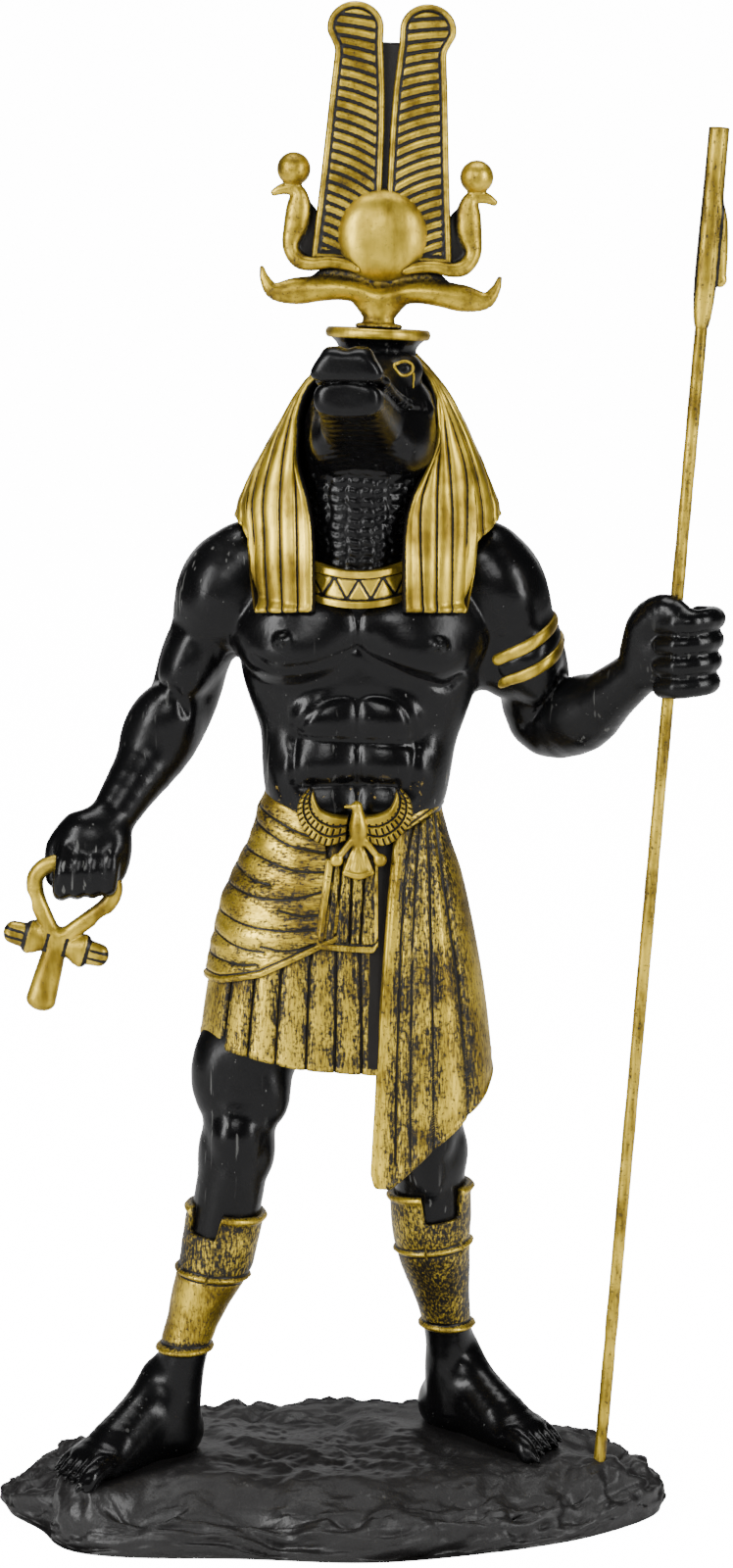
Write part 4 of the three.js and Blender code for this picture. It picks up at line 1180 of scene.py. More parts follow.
@dataclass(frozen=True)
class Torso:
    """Chest, belly and arms, one smooth form."""

    middle: float = 5.2
    cell: float = 0.7
    nipples: tuple = ((-9.9, 169.4), (20.8, 168.3))
    trunk: tuple = (
        (118, 3.2, 0, 16.2, 9.4, 9.8),
        (124, 3.5, 0.5, 16.2, 9.6, 10.2),
        (137, 4.2, 0, 16.1, 9.2, 8.8),
        (149, 5.3, 0, 19.8, 9.8, 10.2),
        (161, 5.4, 0, 23.6, 10.2, 12.4),
        (172, 5.8, 0, 24.6, 10.0, 13.4),
        (182, 6.4, 1, 23.0, 9.0, 12.0),
        (189, 7.0, 2, 15.0, 8.0, 10.5),
    )
    hanging_arm: tuple = (
        (-17.4, 3, 183.4, 7.2, 8),
        (-22, 3.6, 176.6, 8.2, 9.0),
        (-26.4, 6, 166, 6.8, 7.2),
        (-30.0, 9, 154.4, 6.9, 6.7),
        (-34.8, 5.4, 145.6, 7.0, 6.5),
        (-40.8, -0.4, 137, 5.3, 5.0),
        (-45, -4, 130.6, 4.4, 3.8),
    )
    raised_arm: tuple = (
        (30, 3, 183.4, 7.2, 8),
        (33.6, 3.6, 176.6, 7.9, 9.0),
        (38.4, 5.6, 165, 7.0, 7.2),
        (41.6, 9.0, 150.2, 6.9, 6.6),
        (48.6, 3.0, 150.8, 7.0, 6.4),
        (55.4, -4.6, 157.6, 5.4, 5.2),
        (60.2, -9.4, 162.6, 4.6, 4.4),
    )
    # Muscles of the hanging arm, then of the raised one: centre, radii, turn, blend
    arm_muscles: tuple = (
        ((-22.4, 3.4, 177.0), (8.4, 9.6, 11.2), (0, 16, 0), 2.5),
        ((-28.6, 2.4, 162.6), (5.6, 5.6, 9.6), (0, 23, 0), 2.0),
        ((-28.2, 10.4, 164.0), (5.6, 5.2, 10.8), (0, 23, 0), 2.5),
        ((-34.6, 4.6, 148.6), (7.3, 6.6, 10.8), (10, 28, 0), 1.8),
        ((34.0, 3.4, 177.0), (8.1, 9.6, 11.2), (0, -16, 0), 2.5),
        ((33.0, 4.0, 163.6), (5.6, 6.4, 8.6), (0, -12, 0), 2.5),
        ((27.6, 4.6, 163.4), (4.6, 6.4, 6.2), (0, 0, 0), 3.0),
        ((38.8, 1.6, 163.6), (5.8, 5.6, 9.6), (0, -18, 0), 2.0),
        ((40.2, 10.2, 163.4), (5.8, 5.2, 11.4), (0, -18, 0), 2.5),
        ((49.0, 2.4, 152.2), (9.4, 6.6, 7.2), (0, -30, -36), 1.8),
    )

    def clay(self) -> Clay:
        """Models the trunk and both arms with their hands."""
        form = Clay(self.cell)
        form.add(Slices(self.trunk, 2.25))
        self._muscles(form)
        self._arms(form)
        self._hanging_hand(form)
        self._fist(form)
        self._lines(form)
        return form

    def _muscles(self, form: Clay) -> None:
        """The chest, the three rows of the belly, the flanks and the nipples."""
        m = self.middle
        for side in (-1, 1):
            form.add(Lump((m + side * 11.4, -5.8, 170.2), (13.4, 7.2, 9.6), (-6, side * 8, side * 12)), 2.6)
            form.add(Lump((m + side * 12.6, -7.6, 166.6), (9.4, 5.9, 5.8), (0, side * 10, side * 14)), 2.2)
            for height, forward, tall in ((152.6, 7.7, 5.6), (143.9, 7.7, 5.2), (134.8, 7.4, 5.6)):
                form.add(Lump((m - 0.6 + side * 5.9, -forward, height), (6.5, 3.9, tall)), 2.0)
            form.add(Lump((m - 0.6 + side * 12.8, -1.8, 140.5), (4.4, 7.0, 8.0)), 5)
        for x, z in self.nipples:
            form.add(Lump((x, -13.0, z), (1.7, 1.0, 1.4)), 0.8)
            form.add(Lump((x, -13.9, z), (0.7, 0.9, 0.65)), 0.4)

    def _arms(self, form: Clay) -> None:
        """Both arms with their muscles."""
        form.add(Limb(self.hanging_arm, steps=20), 3.5)
        form.add(Limb(self.raised_arm, steps=22), 3.5)
        for centre, radii, turn, blend in self.arm_muscles:
            form.add(Lump(centre, radii, turn), blend)

    def _hanging_hand(self, form: Clay) -> None:
        """The palm, four fingers closed round the ankh's loop, and the thumb."""
        form.add(Lump((-47.8, -5.4, 127.4), (7.4, 5.2, 6.6), (0, 14, 0)), 2.5)
        form.add(Lump((-43.6, -6.6, 124.6), (3.2, 3.6, 6.0), (0, 6, 0)), 1.6)
        for k in range(4):
            x = -54.0 + 3.05 * k
            low = 118.4 + 0.25 * k
            finger = (
                (x + 1.2, -7.6, low + 8.6, 1.9),
                (x + 0.5, -10.4, low + 4.4, 1.95),
                (x, -9.6, low, 1.9),
                (x, -5.4, low - 0.4, 1.8),
            )
            form.add(Limb(finger, steps=8), 0.8)
        thumb = ((-51.4, -4.6, 130.4, 2.6), (-55.0, -5.6, 126.4, 2.3), (-55.6, -6.4, 120.4, 1.8))
        form.add(Limb(thumb, steps=8), 1.2)

    def _fist(self, form: Clay) -> None:
        """The palm, four fingers closed round the rod, and the thumb over them."""
        form.add(Lump((64.6, -11.2, 167.8), (6.6, 5.6, 8.2), (0, 8, 0)), 2.5)
        for k in range(4):
            z = 173.8 - 4.2 * k
            finger = (
                (71.8, -9.4, z - 0.4, 2.2),
                (74.6 - 0.3 * k, -13.2, z, 2.25),
                (72.4, -17.8, z + 0.2, 2.25),
                (67.6, -19.0, z - 0.3, 2.2),
                (64.4, -16.4, z - 0.8, 2.0),
            )
            form.add(Limb(finger, steps=10), 0.7)
        thumb = (
            (60.4, -9.8, 166.4, 4.2),
            (61.9, -12.2, 172.4, 4.2),
            (65.2, -15.6, 175.6, 3.2),
            (69.4, -19.2, 173.8, 2.2),
        )
        form.add(Limb(thumb, steps=12), 1.0)

    def _lines(self, form: Clay) -> None:
        """The lines between the muscles, as (x, z) knots."""
        arch = (
            (-7.9, 141), (-7.7, 146), (-7.3, 149.5), (-5.6, 153.2), (-2.7, 155.9), (0.0, 157.2), (3.0, 157.7),
            (4.7, 157.3), (7.6, 157.9), (11.6, 156.9), (14.6, 154.2), (16.0, 147.4), (15.6, 141),
        )
        upright = ((4.7, 157.4), (4.6, 134))
        across = (
            ((-7.3, 149.3), (4.6, 148.5), (13.3, 148.1), (16.3, 147.1)),
            ((-6.7, 139.8), (4.3, 140.1), (11.6, 139.8)),
        )
        breastbone = ((4.8, 177), (4.8, 167.2))
        under_chest = (
            ((-15.6, 165.4), (-11.6, 163.6), (-4.9, 164.3), (1.7, 166.3), (4.7, 167.4)),
            ((4.7, 167.4), (7.0, 165.6), (11.6, 163.8), (17.6, 161.1), (21.6, 159.2), (24.6, 161.0)),
        )
        raised_elbow = ((38.0, 149.4), (41.4, 153.6), (45.0, 160.6))
        hanging_elbow = ((-29.6, 152.4), (-31.6, 157.6), (-36.2, 158.4))
        grooves = (
            (engraved((arch, upright, *across), 0.42, 0.8), (-12, -20, 132), (22, 0, 161)),
            (engraved((breastbone,), 0.5, 0.9), (0, -20, 160), (10, 0, 180)),
            (engraved(under_chest, 0.5, 0.9), (-20, -20, 155), (30, 0, 170)),
            (engraved((raised_elbow,), 0.6, 0.7, 6), (34, -10, 146), (50, 10, 164)),
            (engraved((hanging_elbow,), 0.5, 0.7, 6), (-40, -10, 149), (-26, 10, 162)),
        )
        for groove, low, high in grooves:
            form.press(groove, low, high)

    def build(self, paint: bpy.types.Material) -> None:
        """Adds the piece."""
        skin = self.clay().skin()
        z = skin.points[:, 2]
        skin.values["smear"] = smooth(143, 137, z) * smooth(24, 20, np.abs(skin.points[:, 0] - self.middle))
        build("torso_and_arms", skin, paint, Slot.BLACK, FIGURE)


@dataclass(frozen=True)
class Leg:
    """A leg with its bare foot and its shin guard.

    The foot is drawn pointing to the front with its inner side at +X, then mirrored, turned and set down.
    """

    name: str
    turn_out: float
    heel: tuple
    rows: tuple
    muscles: tuple
    guard_top: float
    ring_height: float
    notch: tuple
    cell: float = 0.8
    foot_cell: float = 0.48
    guard_foot: float = 22.0
    wall: float = 1.1
    # How far the gold below the ring is left unworn, 0 to 1
    solid: float = 0.0

    def shin(self, z) -> list[np.ndarray]:
        """Centre x and y, side radius and front radius at heights."""
        rows = [[-row[2], row[0], row[1], row[3], row[4]] for row in self.rows]
        return along(rows, -np.asarray(z, float))

    def thigh(self) -> Clay:
        """Models the leg from the kilt down into the shin guard."""
        form = Clay(self.cell)
        form.add(Limb(self.rows[:6], steps=18), 2)
        for centre, radii, turn in self.muscles:
            form.add(Lump(centre, radii, turn), 2.4)
        return form

    def placed(self, x: float, y: float, z: float, *radii: float) -> tuple:
        """A point of the foot's own drawing, set down, with its radii after it."""
        mirrored = np.array([-math.copysign(1, self.turn_out) * x, y, z])
        return (*(turned((0, 0, self.turn_out)) @ mirrored + self.heel), *radii)

    def _bar(self, rows, steps: int) -> Limb:
        """A bar of the foot's own drawing, set down, its front radius measured upwards."""
        return Limb(tuple(self.placed(*row) for row in rows), (0, 0, 1), steps)

    def foot(self) -> Clay:
        """Models the foot up to the ankle ring."""
        form = Clay(self.foot_cell)
        ankle = self.rows[-3:]
        form.add(Limb((*ankle[:2], (*ankle[2][:2], 5.0, *ankle[2][3:])), steps=10), 2)
        body = (
            (0, -3.0, 4.2, 4.9, 5.0),
            (0.2, -9.5, 6.4, 5.2, 7.6),
            (0.1, -17.5, 4.7, 5.9, 6.1),
            (-0.7, -25.5, 2.6, 6.9, 3.7),
        )
        form.add(self._bar(body, 12), 4)
        instep = ((0, -6.0, 15.5, 4.6, 4.6), (0.2, -12.5, 9.6, 4.2, 4.4), (0.2, -20, 6.6, 3.6, 3.2))
        form.add(self._bar(instep, 10), 3)
        # Ankle bones and heel
        form.add(Lump(self.placed(3.7, -5.6, 12.4), (2.3, 3.2, 3.6)), 3)
        form.add(Lump(self.placed(-3.7, -4.6, 11.4), (2.2, 3.2, 3.6)), 3)
        form.add(Lump(self.placed(0.0, -1.4, 4.0), (4.6, 5.0, 5.4)), 3)
        for toe in range(5):
            self._toe(form, toe)
        return form

    def _toe(self, form: Clay, toe: int) -> None:
        """A toe with its nail and the cord that runs to it over the instep.

        Args:
            form: The foot.
            toe: Number of the toe from the big one, which is 0.
        """
        first, last = toe == 0, toe == 4
        x = 4.7 - toe * 2.75 - (0 if first else 0.6)
        reach = 35.6 - toe * 0.9 - (0 if first else 0.9) - (1.2 if last else 0)
        r = 2.1 if first else 1.45 - 0.05 * toe
        bones = (
            (x * 0.82 - 0.3, -22.5, 2.6, r),
            (x * 0.95, -reach + 6.5, 3.3 if first else 3.6, r),
            (x, -reach + 3.4, 2.5, r * 1.02),
            (x, -reach + r, 1.3, r * 0.9),
        )
        nail = (
            (x, -reach + 1.9, 2.2 * r / 1.6, r * 0.5),
            (x, -reach + 0.2, 1.5, r * 0.42),
            (x, -reach - 1.1, 0.6, r * 0.16),
        )
        cord = ((0.6 + x * 0.1, -9.5, 10.6, 0.9), (x * 0.5, -15.5, 7.6, 0.9), (x * 0.8, -23.0, 4.3, 0.8))
        form.add(self._bar(bones, 10), 0.7)
        form.add(self._bar(nail, 6), 0.25)
        form.add(self._bar(cord, 8), 1.3)
        form.add(Lump(self.placed(x * 0.93, -reach + 7.2, 4.0), (r * 0.95, r * 0.95, r * 0.75)), 1.0)

    def guard(self) -> Skin:
        """The shin guard: a sleeve round the shin whose upper edge drops into a notch in front.

        Columns go round, rows go up to the edge. Rings stand out where the height is near theirs.
        """
        columns, rows = 210, 84
        turn = np.linspace(0, 2 * math.pi, columns, endpoint=False)
        share, angle = np.meshgrid(np.linspace(0, 1, rows), turn, indexing="ij")
        centre, half, depth = self.notch
        away = np.abs((np.degrees(angle) - centre + 180) % 360 - 180)
        inside = 1 - smooth(half - 2.5, half + 2.5, away)
        lean = math.copysign(1, self.turn_out)
        tilt = lean * np.cos(angle) * 1.1
        edge = self.guard_top + tilt - depth * inside
        z = self.guard_foot + share * (edge - self.guard_foot)
        x, y, side, deep = self.shin(z)
        ring = self.ring_height + tilt * 0.9
        proud = 0.7 * (1 - np.clip(np.abs(z - ring) / 0.62, 0, 1) ** 2)
        proud = np.maximum(proud, 0.8 * (1 - np.clip(np.abs(z - self.guard_foot - 0.9) / 0.9, 0, 1) ** 2))
        rim = (1 - inside) * np.clip(1 - np.abs(z - edge + 0.8) / 0.9, 0, 1) ** 0.6
        proud = np.maximum(proud, 0.75 * rim)
        groove = bump(np.abs(np.abs(z - ring) - 0.85), 0.3) + bump(z - self.guard_foot - 2.1, 0.35)
        groove = np.maximum(groove, smooth(0.75, 0.2, z - self.guard_foot))
        shin = np.stack([x + side * np.cos(angle), side * np.sin(angle), z], -1)
        dent = 0.16 * Grain(11).layered(shin, 5, 2)
        wall = self.wall * (0.35 + 0.65 * smooth(22, 36, z))
        out = wall + proud - 0.22 * groove + dent
        outer = np.stack([x + (side + out) * np.cos(angle), y + (deep + out) * np.sin(angle), z], -1)
        inner = np.stack([x + (side - 0.4) * np.cos(angle), y + (deep - 0.4) * np.sin(angle), z - 0.05], -1)
        solid = self.solid * smooth(0.0, 1.2, z - self.guard_foot - 2.4) * smooth(0.4, -0.8, z - ring)
        values = {"groove": groove, "raised": np.maximum(np.clip(1.6 * proud, 0, 1), solid)}
        return sheet_skin(outer, inner, values, closed=True)

    def build(self, black: bpy.types.Material, gold: bpy.types.Material) -> None:
        """Adds the leg, the foot and the shin guard."""
        build(f"{self.name}_leg", self.thigh().skin(), black, Slot.BLACK, FIGURE)
        build(f"{self.name}_foot", self.foot().skin(), black, Slot.BLACK, FIGURE)
        build(f"{self.name}_shin_guard", self.guard(), gold, Slot.GOLD, FIGURE)


RIGHT_LEG = Leg(
    name="right",
    solid=1.0,
    turn_out=-40,
    heel=(-31.2, 1.2, 0),
    rows=(
        (-10, 0, 100, 10.4, 9.4),
        (-15, -0.6, 89, 10.2, 9.4),
        (-18.0, -2.4, 79.5, 9.4, 8.8),
        (-19.3, -4.2, 67.5, 7.1, 7.4),
        (-21.4, -3.9, 54, 6.9, 7.6),
        (-24.2, -3.6, 40, 6.5, 7.2),
        (-28, -4, 30, 5.0, 5.7),
        (-31, -4.8, 20, 4.8, 5.5),
        (-32.6, -4.4, 6, 4.9, 5.7),
    ),
    muscles=(
        ((-16.8, -6.6, 86), (6.6, 4.8, 11), (4, 12, 0)),
        ((-23.4, -3.6, 81), (5.2, 6.0, 9.5), (0, 8, 0)),
        ((-13.4, -6.0, 76.5), (4.4, 4.8, 6.6), (0, -8, 0)),
        ((-19.6, -9.6, 67.4), (4.2, 2.9, 4.4), (0, 0, 0)),
        ((-19.9, -8.4, 59.5), (2.4, 3.0, 4.2), (0, 0, 0)),
        ((-24.6, -3.2, 63.5), (2.4, 4.0, 4.4), (0, 0, 0)),
        ((-14.6, -3.6, 63.5), (2.4, 4.0, 4.4), (0, 0, 0)),
        ((-21.4, 1.6, 52), (6.6, 6.4, 9), (0, 0, 0)),
    ),
    guard_top=52.0,
    ring_height=38.6,
    notch=(237, 26, 5.2),
)
LEFT_LEG = Leg(
    name="left",
    turn_out=40,
    heel=(21.4, 19, 0),
    rows=(
        (14, 1.4, 100, 10.4, 9.4),
        (16.4, 1, 89, 10.2, 9.4),
        (17.8, 0.2, 79.5, 9.2, 8.8),
        (18.8, -0.4, 66.5, 7.1, 7.4),
        (19.4, 2.4, 54, 7.2, 7.8),
        (20, 5.4, 42, 6.7, 7.4),
        (21.6, 9.2, 31, 5.1, 5.9),
        (23.4, 12.4, 20, 4.8, 5.6),
        (24.0, 13.6, 6, 4.9, 5.8),
    ),
    muscles=(
        ((17.2, -4.6, 86), (6.6, 4.8, 11), (0, -6, 0)),
        ((22.8, -0.6, 80), (5.0, 6.0, 9.5), (0, -6, 0)),
        ((13.2, -2.4, 75.5), (4.4, 5.0, 6.6), (0, 6, 0)),
        ((19.2, -6.0, 66.4), (4.2, 2.9, 4.4), (0, 0, 0)),
        ((19.4, -4.4, 58.5), (2.4, 3.0, 4.2), (0, 0, 0)),
        ((24.4, 0.6, 62.6), (2.4, 4.0, 4.4), (0, 0, 0)),
        ((14.2, 0.2, 62.6), (2.4, 4.0, 4.4), (0, 0, 0)),
        ((19.8, 7.4, 52), (6.8, 6.2, 9), (0, 0, 0)),
    ),
    guard_top=54.6,
    ring_height=41.6,
    notch=(288, 29, 6.4),
)


@dataclass(frozen=True)
class Rock:
    """An irregular oval of rock with a flat underside, sloping walls and a lumpy, creased top."""

    length: float = 133.0
    depth: float = 68.0
    front_rim: float = 7.6
    back_rim: float = 13.0
    thickness: float = SOLES
    # Height and middle of the mound of glue and resin that takes the sceptre's foot
    mound: float = 4.6
    mound_place: tuple = (53.8, -7.8)
    # Where each lobe lies in degrees round from +X, its spread and its rise
    lobes: tuple = ((0, 22, 0.05), (88, 26, 0.05), (184, 18, 0.05), (229, 17, 0.18), (276, 15, 0.06))

    def reach(self, degrees: np.ndarray) -> np.ndarray:
        """Share of the oval's radius at angles in degrees."""
        share = np.full_like(degrees, 0.955)
        for at, spread, rise in self.lobes:
            away = np.abs((degrees - at + 540) % 360 - 180) / spread
            share += rise * np.exp(-(away**2))
        return share

    def skin(self) -> Skin:
        """A surface over angle and run: out over the underside, up the wall and in over the top.

        The top is a broad swell with folded ridges, the fold value being how far smooth noise is from 0.
        """
        columns = 300
        profile = np.vstack(
            [
                [[0.02, 0.0], [0.5, 0.0], [0.9, 0.0], [0.985, 0.0], [1.0, 0.03]],
                spline([[1.0, 0.03], [1.012, 0.35], [0.99, 0.74], [0.955, 0.93], [0.90, 1.0]], 26)[1:],
                np.stack([np.linspace(0.90, 0.02, 78)[1:], np.ones(77)], axis=1),
            ]
        )
        share, level = profile[:, :1], profile[:, 1:]
        degrees = np.linspace(0, 360, columns, endpoint=False)[None, :]
        reach = self.reach(degrees)
        radians = np.radians(degrees)
        x = np.cos(radians) * reach * share * self.length / 2
        y = np.sin(radians) * reach * share * self.depth / 2
        rim = self.front_rim + (self.back_rim - self.front_rim) * smooth(-0.1, 0.9, np.sin(radians))
        top = rim + (self.thickness - rim) * smooth(0.97, 0.58, share)
        z = np.where(share > 0.9, level * rim, top)
        place = np.stack([x, y, z * 1.6], axis=-1)
        grain, fold = Grain(3), Grain(5)
        bent = place + 5.0 * np.stack([grain.at(place + k * 31, 17) for k in (1, 2, 3)], axis=-1)
        # Long creases, mostly across the front
        streak = bent * [0.55, 1.25, 1.5]
        ridges = 1 - np.sqrt(fold.layered(streak, 7.0, 3) ** 2 + 0.004) * 1.9
        lumps = grain.layered(bent, 13.0, 3)
        fine = fold.layered(place, 1.5, 2)
        # The folds are long and deep on the walls, and fade out on the top
        creased = 2.3 * smooth(0.78, 0.94, share)
        rough = 2.1 * lumps + 0.25 * fine + creased * (1.25 * (ridges - 0.6))
        free = smooth(0.0, 1.6, z) * np.where(level < 0.02, 0.0, 1.0)
        under = self._underfoot(x, y)
        z = z + rough * free * np.where(share > 0.95, 0.4, 0.9) * under
        aside, ahead = x - self.mound_place[0], y - self.mound_place[1]
        z = z + self.mound * np.exp(-((aside / 8.5) ** 2 + (ahead / 7.5) ** 2)) * free
        z = z + (self.thickness + 0.15 - z) * self._trodden(x, y) * smooth(0.6, 1.0, level)
        push = rough * free * 0.5 * smooth(0.86, 0.97, share)
        x = x + np.cos(radians) * push
        y = y + np.sin(radians) * push
        z = np.where(level < 0.02, 0.0, np.maximum(z, 0.02))
        return ring_skin(np.stack([x, y, z - self.thickness], axis=-1))

    def _trodden(self, x: np.ndarray, y: np.ndarray) -> np.ndarray:
        """How far the rock comes up to the soles, 1 under each foot and 0 away from it."""
        soles = [np.array([leg.placed(0, -run, 0)[:2] for run in (1, 27)]) for leg in (RIGHT_LEG, LEFT_LEG)]
        return smooth(11.0, 6.0, nearest_line(x, y, soles))

    def _underfoot(self, x: np.ndarray, y: np.ndarray) -> np.ndarray:
        """Share of the roughness that is left, less under the feet."""
        calm = np.ones_like(x)
        for leg in (RIGHT_LEG, LEFT_LEG):
            for forward in (0, -12, -24):
                spot = leg.placed(0, forward, 0)
                calm -= 0.75 * np.exp(-(((x - spot[0]) ** 2 + (y - spot[1]) ** 2) / 90))
        return np.clip(calm, 0.12, 1)

    def build(self, paint: bpy.types.Material) -> None:
        """Adds the piece."""
        build("rock", self.skin(), paint, Slot.BLACK, FIGURE)


def front_of(form: Clay, x: np.ndarray, z: np.ndarray, start: float, finish: float) -> np.ndarray:
    """Where a form's front surface lies: the first y from the front at which its value is below 0.

    Args:
        form: The modelled form.
        x: Sideways places.
        z: Heights, as many.
        start: Where the search begins.
        finish: Where it ends, and the answer where nothing is met.

    Returns:
        The y of every place.
    """
    steps = np.arange(start, finish, 1.0)
    shape = x.shape
    x, z = x.ravel(), z.ravel()
    points = np.stack([np.repeat(x, len(steps)), np.tile(steps, len(x)), np.repeat(z, len(steps))], axis=1)
    values = form.values_at(array(points)).reshape(len(x), len(steps))
    met = values < 0
    first = np.maximum(met.argmax(1), 1)
    rows = np.arange(len(x))
    before, after = values[rows, first - 1], values[rows, first]
    y = steps[first - 1] + np.clip(before / np.maximum(before - after, 1e-6), 0, 1)
    return np.where(met.any(1), y, finish).reshape(shape)


@dataclass(frozen=True)
class Upright:
    """A beam of upright slices that runs forward, turned about Z and set down.

    Rows are [forward, half width, top, bottom]. The roof is the upper edge's share of the width.
    """

    rows: tuple
    roof: float = 1.0
    power: float = 3.4
    yaw: float = -10.0
    base: tuple = (8.6, 0.0)
    nose: float = 2.0

    def own(self, points: np.ndarray) -> tuple[np.ndarray, np.ndarray, np.ndarray]:
        """Sideways place, forward place and height in the beam's own directions."""
        flat = points - array([*self.base, 0])
        local = flat @ array(turned((0, 0, self.yaw)))
        return local[:, 0], -local[:, 1], local[:, 2]

    def placed(self, x: float, forward: float, z: float) -> np.ndarray:
        """A point given in the beam's own directions."""
        return turned((0, 0, self.yaw)) @ np.array([x, -forward, z]) + [*self.base, 0]

    def box(self) -> tuple[np.ndarray, np.ndarray]:
        """Lowest and highest corner."""
        rows = spline(self.rows, 60)
        ends = [self.placed(s * row[1], row[0], z) for row in rows for s in (-1, 1) for z in row[2:]]
        return np.min(ends, axis=0), np.max(ends, axis=0)

    def distance(self, points: np.ndarray) -> np.ndarray:
        """About how far each point is from the surface, below 0 inside."""
        x, forward, z = self.own(points)
        half, top, bottom = (array(v) for v in along(self.rows, forward))
        tall = (top - bottom) / 2
        lift = (z - bottom - tall) / tall
        half = half * (1 - (1 - self.roof) * np.clip((lift + 1) / 2, 0, 1))
        reach = (np.abs(x / half) ** self.power + np.abs(lift) ** self.power) ** (1 / self.power)
        level = (reach - 1) * np.minimum(half, tall)
        end = np.maximum(self.rows[0][0] - forward, forward - self.rows[-1][0])
        near = np.maximum(self.nose - np.abs(level - end), 0) / self.nose
        return np.maximum(level, end) + near * near * self.nose / 4


@dataclass(frozen=True)
class Head:
    """The crocodile's head with its jaws, cheeks, eyes and scaly throat, turned a little to its right."""

    cell: float = 0.53
    throat: tuple = (
        (170, 5.2, 0, 10, 11.4, 6),
        (184, 5.3, 0, 10.6, 10.8, 6),
        (194, 6.0, 0, 11.2, 9.8, 6),
        (202, 6.6, 0, 12.6, 9.4, 6),
        (210, 7.0, 0, 12.8, 9.4, 6),
        (216, 7.6, 0, 11.0, 8.0, 6),
    )
    inside: tuple = (
        (171, 6.8, 3, 17, 1, 10.5),
        (190, 6.8, 3, 22.5, 1, 10.2),
        (202, 7.8, 3, 18.8, 1, 9.7),
        (211, 8.8, 3, 13.4, 1, 8.8),
        (222, 8.8, 2, 7, 1, 6),
    )
    upper: Upright = Upright(
        (
            (-8, 9, 222.6, 208),
            (0, 12.0, 225.8, 208),
            (6.5, 11.8, 225.6, 211),
            (11, 9.6, 225.0, 213.8),
            (15, 7.4, 224.6, 215.8),
            (21, 6.7, 224.8, 218.2),
            (28, 7.2, 226.8, 220.6),
            (32, 8.0, 228.3, 221.8),
            (36.4, 8.1, 228.4, 222.4),
        ),
        roof=0.6,
        power=2.9,
    )
    lower: Upright = Upright(
        (
            (-6, 11, 214, 200),
            (2, 12.0, 213.6, 199.4),
            (9, 10.9, 215, 202),
            (16, 8.2, 217.8, 206.4),
            (24, 7.0, 220.4, 211.0),
            (31, 6.7, 222.2, 214.6),
            (34.8, 6.4, 222.7, 215.6),
        ),
        power=2.7,
    )

    def clay(self) -> Clay:
        """Models the head and throat."""
        form = Clay(self.cell)
        form.add(Slices(self.inside, 2.1))
        form.add(Slices(self.throat, 2.1), 1.5)
        form.add(self.lower, 2.2)
        form.add(self.upper, 0.9)
        self._face(form)
        self._folds(form)
        self._scales(form)
        return form

    def _face(self, form: Clay) -> None:
        """Brows, eyes, cheeks, lips, the snout's end and the mouth."""
        at = self.upper.placed
        lip = ((11.0, 6, 214.0), (8.6, 12, 215.6), (6.5, 20, 219.0), (6.2, 27, 221.6))
        for side in (-1, 1):
            # Brow, eyeball, cheek and jaw muscle
            form.add(Lump(tuple(at(side * 6.3, 7.0, 221.8)), (3.9, 4.1, 3.4), (0, 0, -10)), 1.8)
            form.add(Lump(tuple(at(side * 6.9, 9.9, 222.5)), (1.7, 1.6, 1.5), (0, 0, -10)), 0.5)
            form.add(Lump(tuple(at(side * 8.1, 4.0, 211.0)), (3.6, 7.6, 7.0), (0, side * 8, -10)), 3.0)
            form.add(Lump(tuple(at(side * 7.6, 9.6, 207.0)), (3.4, 6.4, 4.6), (-24, 0, -10)), 3.0)
            # Lip rolls beside the mouth
            form.add(Limb(tuple((*at(side * w, f, z), 0.9) for w, f, z in lip), steps=12), 1.4)
            # Nostril swellings on the snout's end
            form.add(Lump(tuple(at(side * 2.7, 33.0, 227.6)), (2.0, 2.2, 1.5), (0, 0, -10)), 1.6)
            form.cut(Lump(tuple(at(side * 2.9, 33.2, 229.2)), (0.6, 1.2, 0.6), (0, 0, -10)), 0.4)
        # The mouth's parting, bowed across the front
        form.press(self._mouth, at(0, 38, 214) - [14, 4, 0], at(0, 2, 226) + [16, 2, 3])

    def _mouth(self, points: np.ndarray) -> np.ndarray:
        """Depth of the mouth's parting at (n, 3) points."""
        x, forward, z = self.upper.own(points)
        heights = [212.6, 213.4, 215.0, 218.0, 220.9, 222.4, 222.5]
        line = np.interp(forward, [0, 6, 13, 20, 27, 34, 38], heights)
        line = line - 0.014 * x * x * smooth(30, 35, forward)
        return 0.46 * bump(z - line, 0.27) * smooth(3, 8, forward)

    def _folds(self, form: Clay) -> None:
        """Skin folds on the cheeks and behind the mouth."""
        at = self.upper.placed
        behind = ((12.4, 2.0, 215.6), (12.8, 3.4, 213.4), (12.6, 3.0, 210.4), (12.4, 1.6, 207.6))
        lines = []
        for side in (-1, 1):
            lines.append([at(side * w, f, z) for w, f, z in behind])
            for k in range(5):
                f = 9.4 + 2.1 * k
                w = np.interp(f, [9, 13, 20], [11.6, 9.6, 7.2])
                upper = at(side * (w - 0.4), f, 221.6 - 0.5 * k)
                middle = at(side * (w + 0.6), f - 0.6, 218.4)
                lines.append([upper, middle, at(side * w, f - 1.6, 214.8 + 0.5 * k)])
        curves = [array(spline(line, 8)) for line in lines]

        def sink(points: np.ndarray) -> np.ndarray:
            return 0.38 * bump(np.min([line_distance(points, curve) for curve in curves], axis=0), 0.5)

        form.press(sink, (-16, -26, 200), (26, 4, 226))

    def _scales(self, form: Clay) -> None:
        """Throat: level grooves under the jaw, then columns of square scales down to the collar."""
        columns = array([-3.8, -0.9, 2.5, 5.4, 8.1, 10.8, 13.9])

